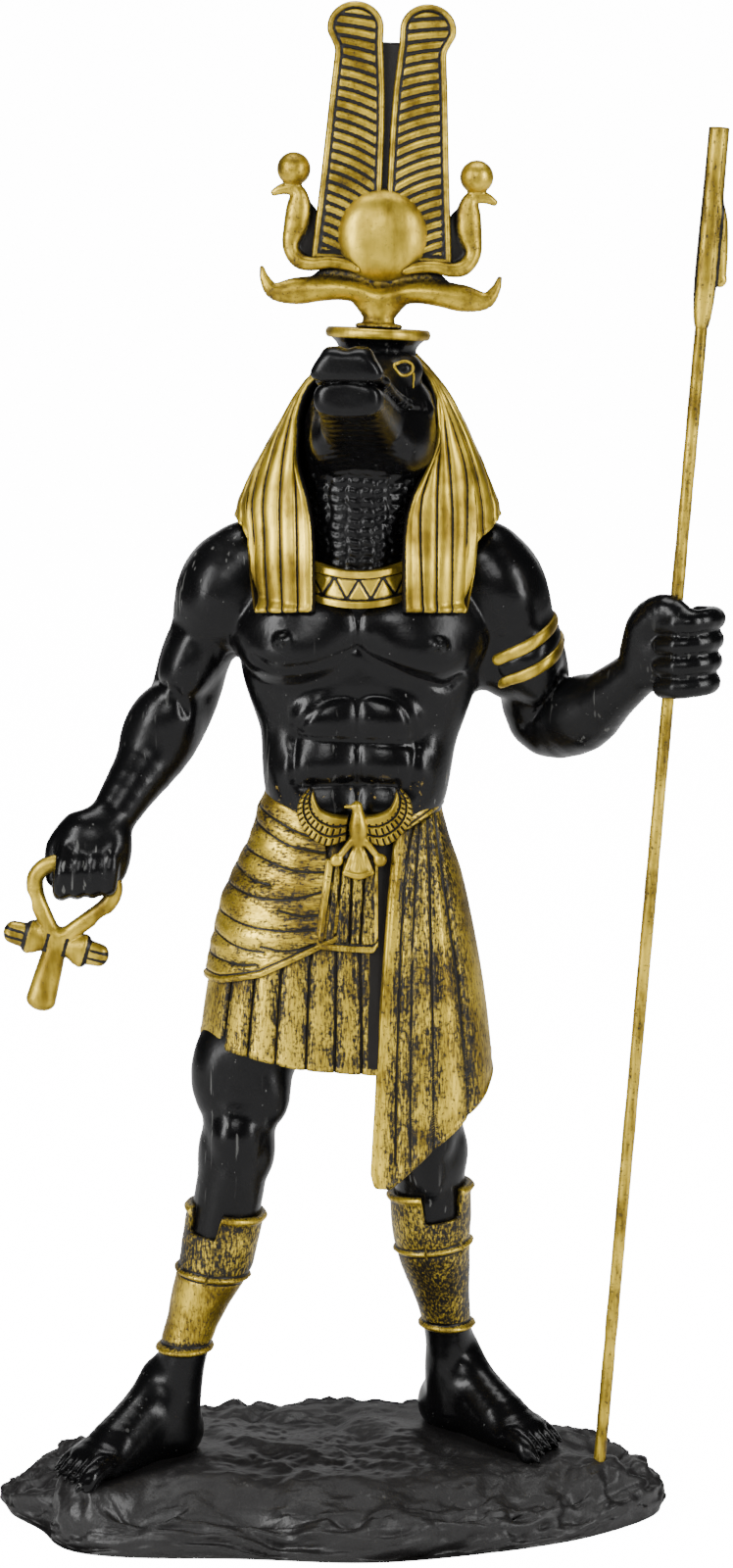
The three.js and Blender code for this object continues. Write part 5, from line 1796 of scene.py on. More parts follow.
        def sink(points: np.ndarray) -> np.ndarray:
            x, y, z = points.T
            facing = smooth(-2.0, -5.0, y)
            upright = np.abs(x[:, None] - columns + 0.35 * np.sin(z * 0.9)[:, None]).min(1)
            column = np.searchsorted(columns, x)
            row = 1.9 + 0.12 * np.sin(column * 2.3)
            level = np.abs((z + 0.5 * np.sin(column * 4.1) + 0.2 * np.sin(x * 1.7)) / row % 1 - 0.5) * row
            scaly = smooth(203.5, 199.5, z)
            rib = np.abs((z + 0.05 * (x - 5) ** 2 * 0.35) / 1.25 % 1 - 0.5) * 1.25
            _, forward, height = self.lower.own(points)
            jaw = along(self.lower.rows, forward)[2]
            under = np.where(forward < 8, 1.0, smooth(2.0, 0.7, height - jaw))
            ribbed = smooth(199.0, 202.0, z) * smooth(216.5, 214.5, z) * bump(x - 3.5, 9.0) * under
            square = np.maximum(bump(upright, 0.34), bump(0.95 - level, 0.30))
            return facing * (scaly * 0.55 * square + 0.16 * ribbed * bump(0.62 - rib, 0.3))

        form.press(sink, (-10, -36, 176), (20, 0, 217))

    def eye_rim(self, form: Clay, side: int) -> Skin:
        """The gold outline round an eye with the mark below it, laid on the head.

        Args:
            form: The modelled head.
            side: 1 for the eye on the sceptre's side, -1 for the other.

        Returns:
            The skin.
        """
        out = np.array([side * 0.42, 0.88, 0.2])
        across = np.array([side * 0.9, -0.42, 0.0])
        up = np.cross(across, out) * (1 if side < 0 else -1)
        up = up if up[2] > 0 else -up
        centre = np.array([side * 6.9, 10.2, 222.6])
        angle = np.linspace(-0.1, 2 * math.pi + 0.1, 13)
        reach = 2.1 * np.cos(angle)[:, None] * across + 1.65 * np.sin(angle)[:, None] * up
        loop = array([self.upper.placed(*point) for point in centre + out * 1.2 + reach])
        t = np.linspace(0, 1, 6)[:, None]
        run = across * (1.9 + 0.9 * t) + up * (-1.3 - 2.6 * t)
        mark = array([self.upper.placed(*point) for point in centre + out * 0.8 + run])
        for _ in range(8):
            loop = form.settle(array(loop))
            mark = form.settle(array(mark))
        rim = tube(np.hstack([loop, np.full((len(loop), 1), 0.36)]), 10, 90)
        tail = tube(np.hstack([mark, np.linspace(0.34, 0.2, len(mark))[:, None]]), 10, 30)
        return merged(rim, tail)

    def build(self, black: bpy.types.Material, gold: bpy.types.Material) -> None:
        """Adds the head and the gold round its eyes."""
        form = self.clay()
        build("crocodile_head", form.skin(), black, Slot.BLACK, FIGURE)
        build("eye_outlines", merged(self.eye_rim(form, 1), self.eye_rim(form, -1)), gold, Slot.GOLD, FIGURE)


@dataclass(frozen=True)
class Headcloth:
    """The striped headcloth: one sheet from under the head block to the lappets on the chest.

    Columns go from the face's edge on the sceptre's side, round the back, to its edge on the other side.
    """

    rows: tuple = (
        (172, 5.6, 0.6, 21.8, 16.2, 15.5),
        (184, 6.4, 0.8, 25.4, 15.0, 15.0),
        (193, 6.8, 1.2, 25.9, 12.4, 13.8),
        (197.3, 6.9, 1.3, 24.6, 11.0, 12.5),
        (202, 7.1, 1.4, 22.5, 9.8, 12.2),
        (211.3, 7.6, 1.4, 17.7, 8.6, 11.4),
        (216, 7.7, 1.3, 15.1, 7.8, 10.6),
        (220.6, 7.8, 1.0, 11.6, 6.6, 9.0),
        (224.6, 8.4, 0.6, 7.4, 5.6, 7.0),
    )
    power: float = 2.3
    # Lines from the face's edge outwards, as (height, x). The first is that edge, and the one with the number
    # of lappet_line, counted from 0, is the lappet's outer side
    right_lines: tuple = (
        (
            (172, 13.9), (189, 13.9), (196, 15.2), (201.2, 17.6), (205, 19.2), (209.2, 20.3), (216, 20.0),
            (221.1, 17.6), (225, 13.6),
        ),
        ((172, 17.7), (189, 17.1), (196, 17.3), (201.2, 18.6), (210, 20.6), (225, 13.8)),
        ((172, 20.3), (195.7, 20.4), (209.1, 20.9), (215.6, 20.5), (225, 14.0)),
        ((172, 23.3), (189, 23.4), (196.8, 23.3), (208.9, 22.2), (216.1, 20.9), (221, 18.2), (225, 14.2)),
        ((172, 25.5), (189.2, 26.2), (200.6, 26.2), (208.6, 24.1), (216.7, 21.1), (221, 18.4), (225, 14.4)),
        (
            (172, 25.9), (176, 26.1), (181.9, 27.4), (188.5, 27.9), (197, 27.7), (207, 25.2), (216, 21.6),
            (221, 18.6), (225, 14.6),
        ),
        ((172, 28.0), (189.4, 29.3), (197.5, 28.9), (207, 26.2), (215.9, 22.1), (221, 18.8), (225, 14.8)),
        ((172, 29.0), (191, 31.5), (197.1, 30.9), (206, 27.9), (215, 23.2), (221, 19.0), (225, 15.0)),
    )
    left_lines: tuple = (
        (
            (172, -4.0), (189, -4.1), (196, -5.0), (201.2, -6.6), (205, -7.2), (209.2, -7.1), (213, -6.9),
            (218.6, -4.4), (225, 3.4),
        ),
        ((172, -7.0), (189.1, -7.2), (198.4, -7.4), (206.9, -7.5), (215.5, -6.9), (221, -2.6), (225, 3.2)),
        ((172, -10.0), (189, -10.5), (198.2, -10.5), (208.7, -9.2), (215.4, -7.2), (221, -2.8), (225, 3.0)),
        ((172, -12.8), (188.7, -13.6), (198, -13.6), (208.6, -10.9), (216.5, -6.9), (221, -3.0), (225, 2.8)),
        (
            (172, -14.6), (188.4, -15.7), (197.7, -15.7), (208.5, -11.9), (216.5, -7.1), (221, -3.2),
            (225, 2.6),
        ),
        (
            (172, -15.0), (176, -15.3), (181.9, -16.0), (188.5, -16.4), (197, -16.6), (208, -12.2),
            (216.5, -7.2), (225, 2.4),
        ),
        ((172, -16.0), (191.3, -17.8), (196.7, -17.5), (208.2, -12.4), (216.5, -7.4), (225, 2.2)),
    )
    # How far along the sheet each line lies, in about millimetres, and how far it is round the back
    right_places: tuple = (0, 3.2, 6.4, 9.5, 12.3, 14, 16, 19)
    left_places: tuple = (0, 3.1, 6.3, 9.5, 11.7, 12.6, 14.4)
    lappet_line: int = 5
    round_back: float = 62.0
    back_lines: int = 17
    lappet_foot: float = 175.0
    crest: float = 224.6
    thickness: float = 1.9

    def _angles(self, z: np.ndarray) -> tuple[np.ndarray, np.ndarray]:
        """Angle of every line at heights, from the face's edge on the right round to the one on the left.

        Lines keep a small gap where they run together.

        Args:
            z: Heights.

        Returns:
            The angles, with the lines as the last axis, and the lines' places along the sheet.
        """
        x0, _, half, _, _ = along(self.rows, z)
        found = []
        for lines, sign in ((self.right_lines, 1), (self.left_lines, -1)):
            column, last = [], None
            for line in lines:
                ratio = np.clip(sign * (along(line, z)[0] - x0) / half, 0.0, 0.9998)
                angle = -np.arccos(ratio ** (self.power / 2))
                angle = angle if last is None else np.maximum(angle, last + 0.008)
                column.append(angle)
                last = angle
            found.append(column)
        right, left = found
        angles = np.stack(right + [math.pi - a for a in left[::-1]], axis=-1)
        end = self.right_places[-1] + self.round_back + self.left_places[-1]
        places = np.concatenate([self.right_places, end - np.array(self.left_places[::-1])])
        return angles, places

    def skin(self, chest: Clay) -> Skin:
        """The sheet, laid over the chest where it would lie inside it.

        Its columns run between the lines, so that every line stays crisp.
        """
        rows = 124
        _, places = self._angles(np.array([190.0]))
        first, last, end = self.right_places[-1], places[-1] - self.left_places[-1], places[-1]
        back = np.linspace(first, last, self.back_lines + 2)[1:-1]
        outer_line = self.lappet_line
        right_side, left_side = self.right_places[outer_line], end - self.left_places[outer_line]
        undrawn = [0, outer_line, -1 - outer_line, -1]
        drawn = np.concatenate([np.delete(places, undrawn), back])
        marks = [drawn + s * d for d in (0, 0.1, 0.22, 0.42) for s in (-1, 1)]
        sides = [side + d for side in (right_side, left_side) for d in (-0.3, -0.15, 0, 0.15, 0.3)]
        runs = ((0, first, 0.75), (first, last, 1.6), (last, end, 0.75))
        plain = np.concatenate([*(np.arange(*run) for run in runs), [end]])
        c = np.unique(np.clip(np.concatenate([plain, *marks, sides]), 0, end).round(3))[None, :]
        side = smooth(right_side - 0.1, right_side + 0.1, c) * smooth(left_side + 0.1, left_side - 0.1, c)
        middle = (first + last) / 2
        hood = np.interp(
            c,
            [right_side, first, first + 4, first + 12, middle, last - 12, last - 4, last, left_side],
            [187.6, 190.4, 191.8, 189.5, 178, 189.5, 191.8, 190.2, 187.6],
        )
        foot = self.lappet_foot - 0.9 * np.minimum(np.minimum(c, end - c) / 14, 1)
        hem = foot + side * (hood - foot)
        t = np.linspace(0, 1, rows)[:, None]
        z = hem + (self.crest - hem) * t
        angles, _ = self._angles(z)
        span = np.clip(np.searchsorted(places, c[0], side="right") - 1, 0, len(places) - 2)
        low = np.take_along_axis(angles, span[None, :, None].repeat(rows, 0), 2)[..., 0]
        high = np.take_along_axis(angles, span[None, :, None].repeat(rows, 0) + 1, 2)[..., 0]
        angle = low + (high - low) * (c - places[span]) / (places[span + 1] - places[span])
        points, outward = Slices(self.rows, self.power).surface(z, angle)
        # Lay the lappets on the chest
        front = np.broadcast_to((c < right_side + 1) | (c > left_side - 1), z.shape)
        y = np.full_like(z, 12.0)
        y[front] = front_of(chest, points[..., 0][front], np.minimum(z[front], 188.0), -24, 12)
        lift = np.where(front, smooth(196, 186, z), 0.0)
        wanted = y - 2.1
        forward = np.minimum(points[..., 1], np.where(y < 11, wanted, points[..., 1]))
        points[..., 1] += (forward - points[..., 1]) * lift
        # Millimetres on the surface for one along the sheet, to draw lines of even width
        speed = np.linalg.norm(np.gradient(points, axis=1), axis=-1) / np.gradient(c, axis=1)
        gap = np.abs(c[..., None] - drawn).min(-1) * speed
        faint = smooth(0.12, 0.5, speed)
        right_last, left_last = self.right_places[outer_line - 1], self.left_places[outer_line - 1]
        beside = np.minimum(np.abs(c - right_last), np.abs(c - end + left_last))
        faint = faint * np.where(beside < 0.6, smooth(183, 190, z), 1.0)
        groove = bump(gap, 0.27) * faint
        pillow = np.clip(gap / 1.6, 0, 1) ** 0.7
        edge = np.minimum(c, end - c) * speed
        hemline = z - hem
        roll = 0.4 * bump(edge - 0.6, 0.5) + 0.3 * bump(hemline - 0.8, 0.6)
        relief = 0.32 * pillow - 0.42 * groove + roll - 0.5 * bump(edge, 0.3) - 0.45 * bump(hemline, 0.35)
        wave = Grain(21).layered(points, 7.0, 2) * 0.14
        outer = points + outward * (relief + wave)[..., None]
        inner = points - outward * self.thickness
        dark = np.clip(groove + 0.9 * bump(edge, 0.22) + 0.9 * bump(hemline, 0.25), 0, 1)
        return sheet_skin(outer, inner, {"groove": dark, "raised": np.clip(pillow, 0, 1)})

    def build(self, chest: Clay, gold: bpy.types.Material) -> None:
        """Adds the piece."""
        build("headcloth", self.skin(chest), gold, Slot.GOLD, FIGURE)


@dataclass(frozen=True)
class Seat:
    """Where the crown stands: the top of the head block, leaning and tipped with the head."""

    place: tuple = (8.8, 0.0, 229.0)
    tip: float = 5.0
    lean: float = 2.6

    def put(self, points: np.ndarray) -> np.ndarray:
        """Points drawn on a level seat at the origin, set in place."""
        rotation = turned((-self.tip, 0, 0)) @ turned((0, self.lean, 0))
        return np.asarray(points, float) @ rotation.T + self.place


@dataclass(frozen=True)
class HeadBlock:
    """The round block on the head, with a flared, gilded rim."""

    seat: Seat = Seat()
    radius: float = 10.2
    height: float = 6.4

    def turned_skin(self, profile) -> Skin:
        """A skin over [radius, height] rows turned round the block's middle, set on the seat."""
        skin = ring_skin(revolved(profile, 120))
        skin.points = self.seat.put(skin.points)
        return skin

    def build(self, black: bpy.types.Material, gold: bpy.types.Material) -> None:
        """Adds the block and its rim."""
        r, h = self.radius, self.height
        neck = (
            (0.80 * r, -h - 3),
            (0.75 * r, -h * 0.75),
            (0.78 * r, -h * 0.5),
            (0.90 * r, -h * 0.3),
            (0.965 * r, -h * 0.22),
        )
        top = ((0.96 * r, -0.1), (0.6 * r, -0.05), (0.02, 0.0))
        block = self.turned_skin([[0.02, -h - 3], *spline(neck, 24), *top])
        build("head_block", block, black, Slot.BLACK, FIGURE)
        turn = np.linspace(-0.9, 1.35, 14) * math.pi / 1.5
        bead = np.stack([0.945 * r + 0.068 * r * np.cos(turn), -0.14 * h + 0.16 * h * np.sin(turn)], axis=1)
        rim = self.turned_skin([[0.86 * r, -0.24 * h], *bead, [0.86 * r, -0.03]])
        build("head_block_rim", rim, gold, Slot.GOLD, FIGURE)


@dataclass(frozen=True)
class Collar:
    """The broad collar between the lappets: two rims with a zigzag between."""

    low: float = 176.9
    high: float = 184.0
    tooth: float = 4.6
    dip: float = 1.1
    rows: tuple = ((174, 5, 0, 11.6, 13.4, 6), (178, 5, 0, 11.6, 13.2, 6), (184, 5.2, 0, 11.4, 12.4, 6))

    def skin(self) -> Skin:
        """The band, with grooves where the zigzag and the rims' inner edges run."""
        heights, degrees = np.linspace(self.low, self.high, 48), np.linspace(-172, -8, 220)
        z, angle = np.meshgrid(heights, np.radians(degrees), indexing="ij")
        points, outward = Slices(self.rows, 2.1).surface(z, angle)
        x = points[..., 0]
        points[..., 2] -= self.dip * np.clip(1 - ((x - 5) / 9) ** 2, -0.6, 1)
        # Share of the height between the rims
        between = self.high - self.low - 3.1
        middle = (z - self.low - 1.55) / between
        phase = np.abs((x - 5.0) / self.tooth % 1 - 0.5) * 2
        across = np.abs(middle - phase) * between * 0.62
        band = smooth(-0.06, 0.04, middle) * smooth(1.06, 0.96, middle)
        zigzag = bump(across, 0.42) * band
        rim = 1 - band
        edges = bump((z - self.low - 1.5), 0.22) + bump((z - self.high + 1.5), 0.22)
        swell = 0.62 * rim * (1 - 0.5 * ((z - self.low) / 7 - 0.5) ** 2)
        relief = swell - 0.34 * zigzag - 0.3 * edges + 0.1
        outer = points + outward * (0.5 + relief)[..., None]
        inner = points - outward * 1.6
        return sheet_skin(outer, inner, {"groove": np.clip(zigzag + edges, 0, 1), "raised": rim})

    def build(self, gold: bpy.types.Material) -> None:
        """Adds the piece."""
        build("collar", self.skin(), gold, Slot.GOLD, FIGURE)


@dataclass(frozen=True)
class Armlets:
    """Two gold bands round the bent arm with a dark one between, tilted with their outer side high."""

    centres: tuple = ((38.1, 5.2, 167.7), (39.7, 6.2, 163.1))
    axis: tuple = (0.52, 0.14, -1.0)
    half_height: float = 1.25
    # Largest radius, which keeps the bands off the chest
    most: float = 10.5

    def band(self, arm: Clay, centre, half: float, proud: float) -> Skin:
        """A half-round band laid on the arm, whose surface is found outwards from the middle at each angle.

        Args:
            arm: The modelled arm.
            centre: Middle of the band.
            half: Half its height.
            proud: How far it stands out.

        Returns:
            The skin.
        """
        axis = np.asarray(self.axis) / np.linalg.norm(self.axis)
        ahead = np.array([0, -1, 0]) + axis * axis[1]
        ahead /= np.linalg.norm(ahead)
        side = np.cross(ahead, axis)
        angle = np.linspace(0, 2 * math.pi, 150, endpoint=False)
        offset = np.linspace(-1, 1, 15)
        way = np.cos(angle)[:, None] * side + np.sin(angle)[:, None] * ahead
        reach = np.linspace(2.5, 13, 60)
        rings = []
        for share in offset:
            start = np.asarray(centre) + axis * share * half
            points = array(start + way[:, None] * reach[:, None])
            values = arm.values_at(points.reshape(-1, 3)).reshape(len(angle), len(reach))
            out = values > 0
            first = np.maximum(out.argmax(1), 1)
            rows = np.arange(len(angle))
            before, after = values[rows, first - 1], values[rows, first]
            radius = reach[first - 1] + (reach[1] - reach[0]) * before / np.minimum(before - after, -1e-6)
            radius = np.where(out.any(1), radius, reach[-1])
            radius = np.minimum(radius, self.most)
            bulge = proud * math.sqrt(max(1 - share * share, 0.0))
            rings.append(start + way * (radius + bulge - 0.06)[:, None])
        outer = np.array(rings)
        middle = outer.mean(1, keepdims=True)
        inner = middle + (outer - middle) * 0.86
        raised = np.sqrt(1 - offset**2)[:, None].repeat(len(angle), 1)
        return sheet_skin(outer, inner, {"raised": raised}, closed=True)

    def build(self, arm: Clay, black: bpy.types.Material, gold: bpy.types.Material) -> None:
        """Adds the bands."""
        bands = [self.band(arm, centre, self.half_height, 0.75) for centre in self.centres]
        build("armlets", merged(*bands), gold, Slot.GOLD, FIGURE)
        between = tuple(np.mean(self.centres, axis=0))
        build("armlet_ground", self.band(arm, between, 1.5, 0.45), black, Slot.BLACK, FIGURE)


@dataclass(frozen=True)
class Ankh:
    """The ankh in the hanging hand: a loop, a stem and two flared arms with ridged caps, tilted."""

    centre: tuple = (-55.3, -7.6, 107.2)
    tilt: float = 15.5
    cell: float = 0.3
    # The two halves of the loop, upwards
    left: tuple = (
        (-0.6, 0.9), (-2.6, 3.4), (-5.2, 6.7), (-6.8, 9.4), (-7.4, 12.2), (-6.0, 14.8), (-3, 16.6),
        (-0.4, 17.3),
    )
    right: tuple = (
        (0.6, 0.9), (2.4, 3.3), (4.7, 6.2), (7.5, 9.9), (8.4, 13.0), (7.4, 15.6), (4.4, 17.0),
        (0.4, 17.3),
    )

    def _placed(self, *rows) -> tuple:
        """Rows of the upright drawing, tilted and set in the hand."""
        rotation = turned((0, self.tilt, 0))
        return tuple((*(rotation @ np.array(row[:3], float) + self.centre), *row[3:]) for row in rows)

    def clay(self) -> Clay:
        """Models the ankh."""
        form = Clay(self.cell)
        for strand in (self.left, self.right):
            form.add(Limb(self._placed(*((x, 0, z, 1.7, 1.6) for x, z in strand)), steps=24), 0.4)
        stem = ((0, 0, 1.6, 2.0, 1.8), (0, 0, -4, 2.5, 2.1), (0, 0, -11.9, 3.0, 2.2))
        form.add(Limb(self._placed(*stem), steps=10), 1.0)
        for side in (-1, 1):
            flare = ((side * 1.0, 0, 0, 1.5, 1.5), (side * 3.4, 0, 0, 2.0, 2.4), (side * 5.2, 0, 0, 2.3, 3.5))
            form.add(Limb(self._placed(*flare), (0, 0, 1), 8), 0.5)
            form.cut(Limb(self._placed((side * 9.6, 0, -6, 3.0), (side * 9.6, 0, 6, 3.0)), steps=2), 0.25)
            cap = ((side * 6.2, 0, 0, 2.0, 2.6), (side * 8.9, 0, 0, 1.9, 2.3))
            form.add(Limb(self._placed(*cap), (0, 0, 1), 4), 0.15)
            for k in (-1, 0, 1):
                score = ((side * 7.6, -2.3, 1.4 * k, 0.3), (side * 11.2, -1.5, 1.2 * k, 0.3))
                form.cut(Limb(self._placed(*score), steps=3), 0.25)
            # Seams across the loop
            for x, z in ((4.2, 6.4), (6.8, 9.8)):
                x *= side
                across = ((x - 1.6 * side, -1.7, z + 1.3, 0.24), (x + 1.6 * side, -1.7, z - 1.3, 0.24))
                form.cut(Limb(self._placed(*across), steps=2), 0.3)
        return form

    def build(self, gold: bpy.types.Material) -> None:
        """Adds the piece."""
        skin = self.clay().skin()
        x, _, z = np.abs((skin.points - self.centre) @ turned((0, self.tilt, 0))).T
        capped = np.maximum(bump(x - 6.3, 0.5), bump(z - 0.8, 0.34) * smooth(6.4, 7.0, x))
        joined = bump(x - 1.9, 0.5) * smooth(2.2, 1.8, z)
        edge = 0.85 * bump(skin.points[:, 1] - self.centre[1] - 0.2, 1.25)
        skin.values = {"groove": np.clip(capped * smooth(3.6, 3.0, z) + 0.8 * joined + edge, 0, 1)}
        build("ankh", skin, gold, Slot.GOLD, FIGURE)


@dataclass(frozen=True)
class Kilt:
    """The pleated skirt, the cloth wrapped over its side, the belt and the apron."""

    rows: tuple = (
        (80, 1.6, 0, 28.9, 16.4, 15.4),
        (92, 1.8, 0, 27.8, 15.8, 15),
        (106, 1.8, 0, 25.4, 14.6, 14.4),
        (118, 2.2, 0, 22.6, 13, 13.2),
        (128, 3.2, 0, 19, 11.2, 11),
        (139, 4.1, 0, 16.2, 10.0, 9.4),
    )
    power: float = 2.17
    hem: tuple = ((-45, 88), (-28, 87.2), (-7, 83.4), (8, 82.3), (45, 84))
    pleats: tuple = (-26.7, -22.0, -17.1, -11.6, -5.5, 0.2, 5.5)
    wrap_low: tuple = ((-45, 98.8), (-25.8, 99.2), (-21.9, 99.4), (-14.2, 101.6), (-4.2, 106.9), (8, 113))
    wrap_side: tuple = ((99, 5.0), (106.5, 4.0), (124, -1.0), (139, -3.0))
    # The waist, which dips in the middle: x and height
    waist: tuple = (
        (-45, 137.8), (-12.9, 137.7), (-11.2, 136.7), (-7, 134.5), (-2, 131.6), (2, 130.2),
        (5, 129.6), (9, 130.4), (14, 133.2), (20.3, 136.8), (45, 137.8),
    )
    folds: tuple = (
        ((-14.6, 134.6), (-12.0, 132.9), (-9.0, 131.3), (-6.5, 130.2), (-3.5, 129.4)),
        ((-16.6, 132.0), (-14.3, 130.7), (-9.5, 128.0), (-6.5, 127.2), (-0.5, 126.4)),
        ((-18.6, 127.0), (-16.3, 125.6), (-11.5, 123.9), (-7.0, 122.8), (-1.5, 122.8)),
        ((-19.4, 122.6), (-16.0, 120.4), (-12.4, 119.8)),
        ((-21.4, 119.0), (-18.2, 117.9), (-13.7, 117.1), (-8.0, 117.3), (-2.4, 118.9)),
        ((-10.4, 114.9), (-6.5, 114.1), (-3.0, 114.4)),
        ((-24.0, 114.6), (-21.9, 113.1), (-17.0, 111.5), (-10.4, 111.0), (-3.7, 111.5)),
        ((-25.4, 110.2), (-22.9, 108.9), (-18.0, 106.9), (-13.5, 106.6)),
        ((-14.2, 107.6), (-9.0, 107.1), (-4.0, 108.4)),
        ((-26.4, 105.2), (-24.4, 104.3), (-19.0, 103.6), (-15.0, 104.0)),
    )
    back_folds: tuple = (103.5, 108, 112.5, 117, 121.5, 126, 130.5)
    back_waist: float = 137.8
    # Height at which the pleats and the hem are laid out
    hem_level: float = 86.0
    # Rings of the underside, from the middle out: share of the hem's width, lift above it
    underside: tuple = ((0.02, 3.2), (0.5, 3.0), (0.86, 2.6), (0.93, 0.6), (0.965, -0.05))
    belt_rows: tuple = (
        (126, 3.2, -0.4, 19.0, 11.9, 11.4),
        (134.4, 3.9, -0.2, 17.2, 11.1, 10.3),
        (139, 4.2, 0, 16.2, 10.4, 9.4),
    )

    @property
    def outline(self) -> Slices:
        """The form that the cloths lie on."""
        return Slices(self.rows, self.power)

    def _waist_at(self, x: np.ndarray) -> np.ndarray:
        """Height of the waist in front at places x."""
        return on_line(self.waist, x)

    def skirt(self) -> Skin:
        """The pleated skirt as one solid: its underside, its hem and its outside."""
        pleats = self.outline.front_angle(np.array(self.pleats), self.hem_level)
        pleats = np.concatenate([pleats, np.linspace(0.15, math.pi - 0.1, 17)])
        marks = [pleats + s * d for d in (0, 0.007, 0.016, 0.03) for s in (-1, 1)]
        angle = np.unique(np.concatenate([np.linspace(-math.pi, math.pi, 161)[:-1], *marks]).round(4))
        t, a = np.meshgrid(np.linspace(0, 1, 60), angle, indexing="ij")
        level, _ = self.outline.surface(np.full_like(a, self.hem_level), a)
        low = on_line(self.hem, level[..., 0])
        # The waist is narrower than the hem
        top = np.where(a < 0, self._waist_at(level[..., 0] * 0.62 + 1.6), self.back_waist)
        z = low + (top - 0.6 - low) * t
        points, outward = self.outline.surface(z, a)
        gap = np.abs(a[..., None] - pleats).min(-1) * along(self.rows, z)[2] * 0.9
        groove = bump(gap, 0.3)
        rim = bump(z - low - 0.5, 0.5)
        fade = 1 - 0.5 * t
        fold = np.clip(gap / 1.8, 0, 1)
        outer = points + outward * (0.42 * fold**0.6 - 0.6 * groove * fade + 0.28 * rim)[..., None]
        # Painted shade: black in the narrow gap between the apron and the drape
        x = points[..., 0]
        shaded = smooth(6.4, 7.0, x) * smooth(12.5, 11.5, x) * smooth(0, -0.2, a) * smooth(0.6, 1.4, z - low)
        groove = np.maximum(groove, shaded)
        middle = np.array([1.8, 0, 0])
        rings = []
        for share, lift in self.underside:
            rings.append(outer[0] * [share, share, 1] + middle * (1 - share) + [0, 0, lift])
        rings = np.concatenate([np.array(rings), outer])
        spread = {"groove": groove, "raised": np.maximum(0.6 * fold, rim)}
        blank = np.zeros((len(self.underside), len(angle)))
        return ring_skin(rings, {key: np.concatenate([blank, v]) for key, v in spread.items()})

    def wrap(self) -> Skin:
        """The wrapped cloth with its folds and its raised lower border.

        The first half of the columns run over the front, the second half over the back. The heights follow
        from the places and these from the heights, so both are found in turns.
        """
        t, c = unit_grid(128, 230)
        c = np.interp(c, [0, 0.68, 1], [0, 0.5, 1])
        behind = c > 0.5
        z = 104 + 33.5 * t
        for _ in range(4):
            start = self.outline.front_angle(on_line(self.wrap_side, z), z)
            angle = np.where(behind, -math.pi - (c - 0.5) * 2 * 1.75, start - (start + math.pi) * c * 2)
            points, outward = self.outline.surface(z, angle)
            x = points[..., 0]
            low = np.where(behind, 98.8, on_line(self.wrap_low, x))
            top = np.where(behind, self.back_waist, self._waist_at(x))
            z = low + (top - low) * t
        marks = nearest_line(x, z, [spline(fold, 5 * len(fold)) for fold in self.folds])
        waves = [np.abs(z - h - 1.2 * np.sin(x * 0.11 + k)) for k, h in enumerate(self.back_folds)]
        gap = np.where(c < 0.51, marks, np.min(waves, axis=0))
        border = smooth(1.4, 1.0, z - low)
        groove = bump(gap, 0.31) * (1 - border) + bump(z - low - 1.45, 0.26)
        edge = bump(z - low, 0.5) + bump(top - z, 0.4)
        swell = Grain(4).layered(points * [1, 1, 2.2], 7.0, 2)
        relief = 0.95 + 0.3 * np.clip(gap / 2.6, 0, 1) ** 0.7 - 0.34 * groove
        relief += 0.3 * swell * (1 - border) + 0.28 * border - 0.3 * edge
        outer = points + outward * relief[..., None]
        inner = points - outward * 0.4
        raised = np.maximum(border, 0.8 * np.clip(gap / 2.2, 0, 1))
        return sheet_skin(outer, inner, {"groove": np.clip(groove, 0, 1), "raised": raised})

    def belt(self) -> Skin:
        """The belt: a rounded band from beside the bird, round the hip and the back, to the other hip."""
        hips = Slices(self.belt_rows, self.power)
        turn = np.linspace(-1.15, math.pi + 0.25, 260)
        t, angle = np.meshgrid(np.linspace(-1, 1, 26), turn, indexing="ij")
        level, _ = hips.surface(np.full_like(angle, self.belt_rows[1][0]), angle)
        in_front = (angle < 0) | (angle > math.pi)
        top = np.where(in_front, self._waist_at(level[..., 0]), self.back_waist)
        points, outward = hips.surface(top - 1.25 + 1.45 * t, angle)
        groove = bump(t + 0.1, 0.16)
        bulge = 0.8 * np.sqrt(np.clip(1 - t**4, 0, 1)) - 0.3 * groove
        outer = points + outward * (0.25 + bulge)[..., None]
        inner = points - outward * 1.2
        return sheet_skin(outer, inner, {"groove": groove, "raised": 1 - np.abs(t)})

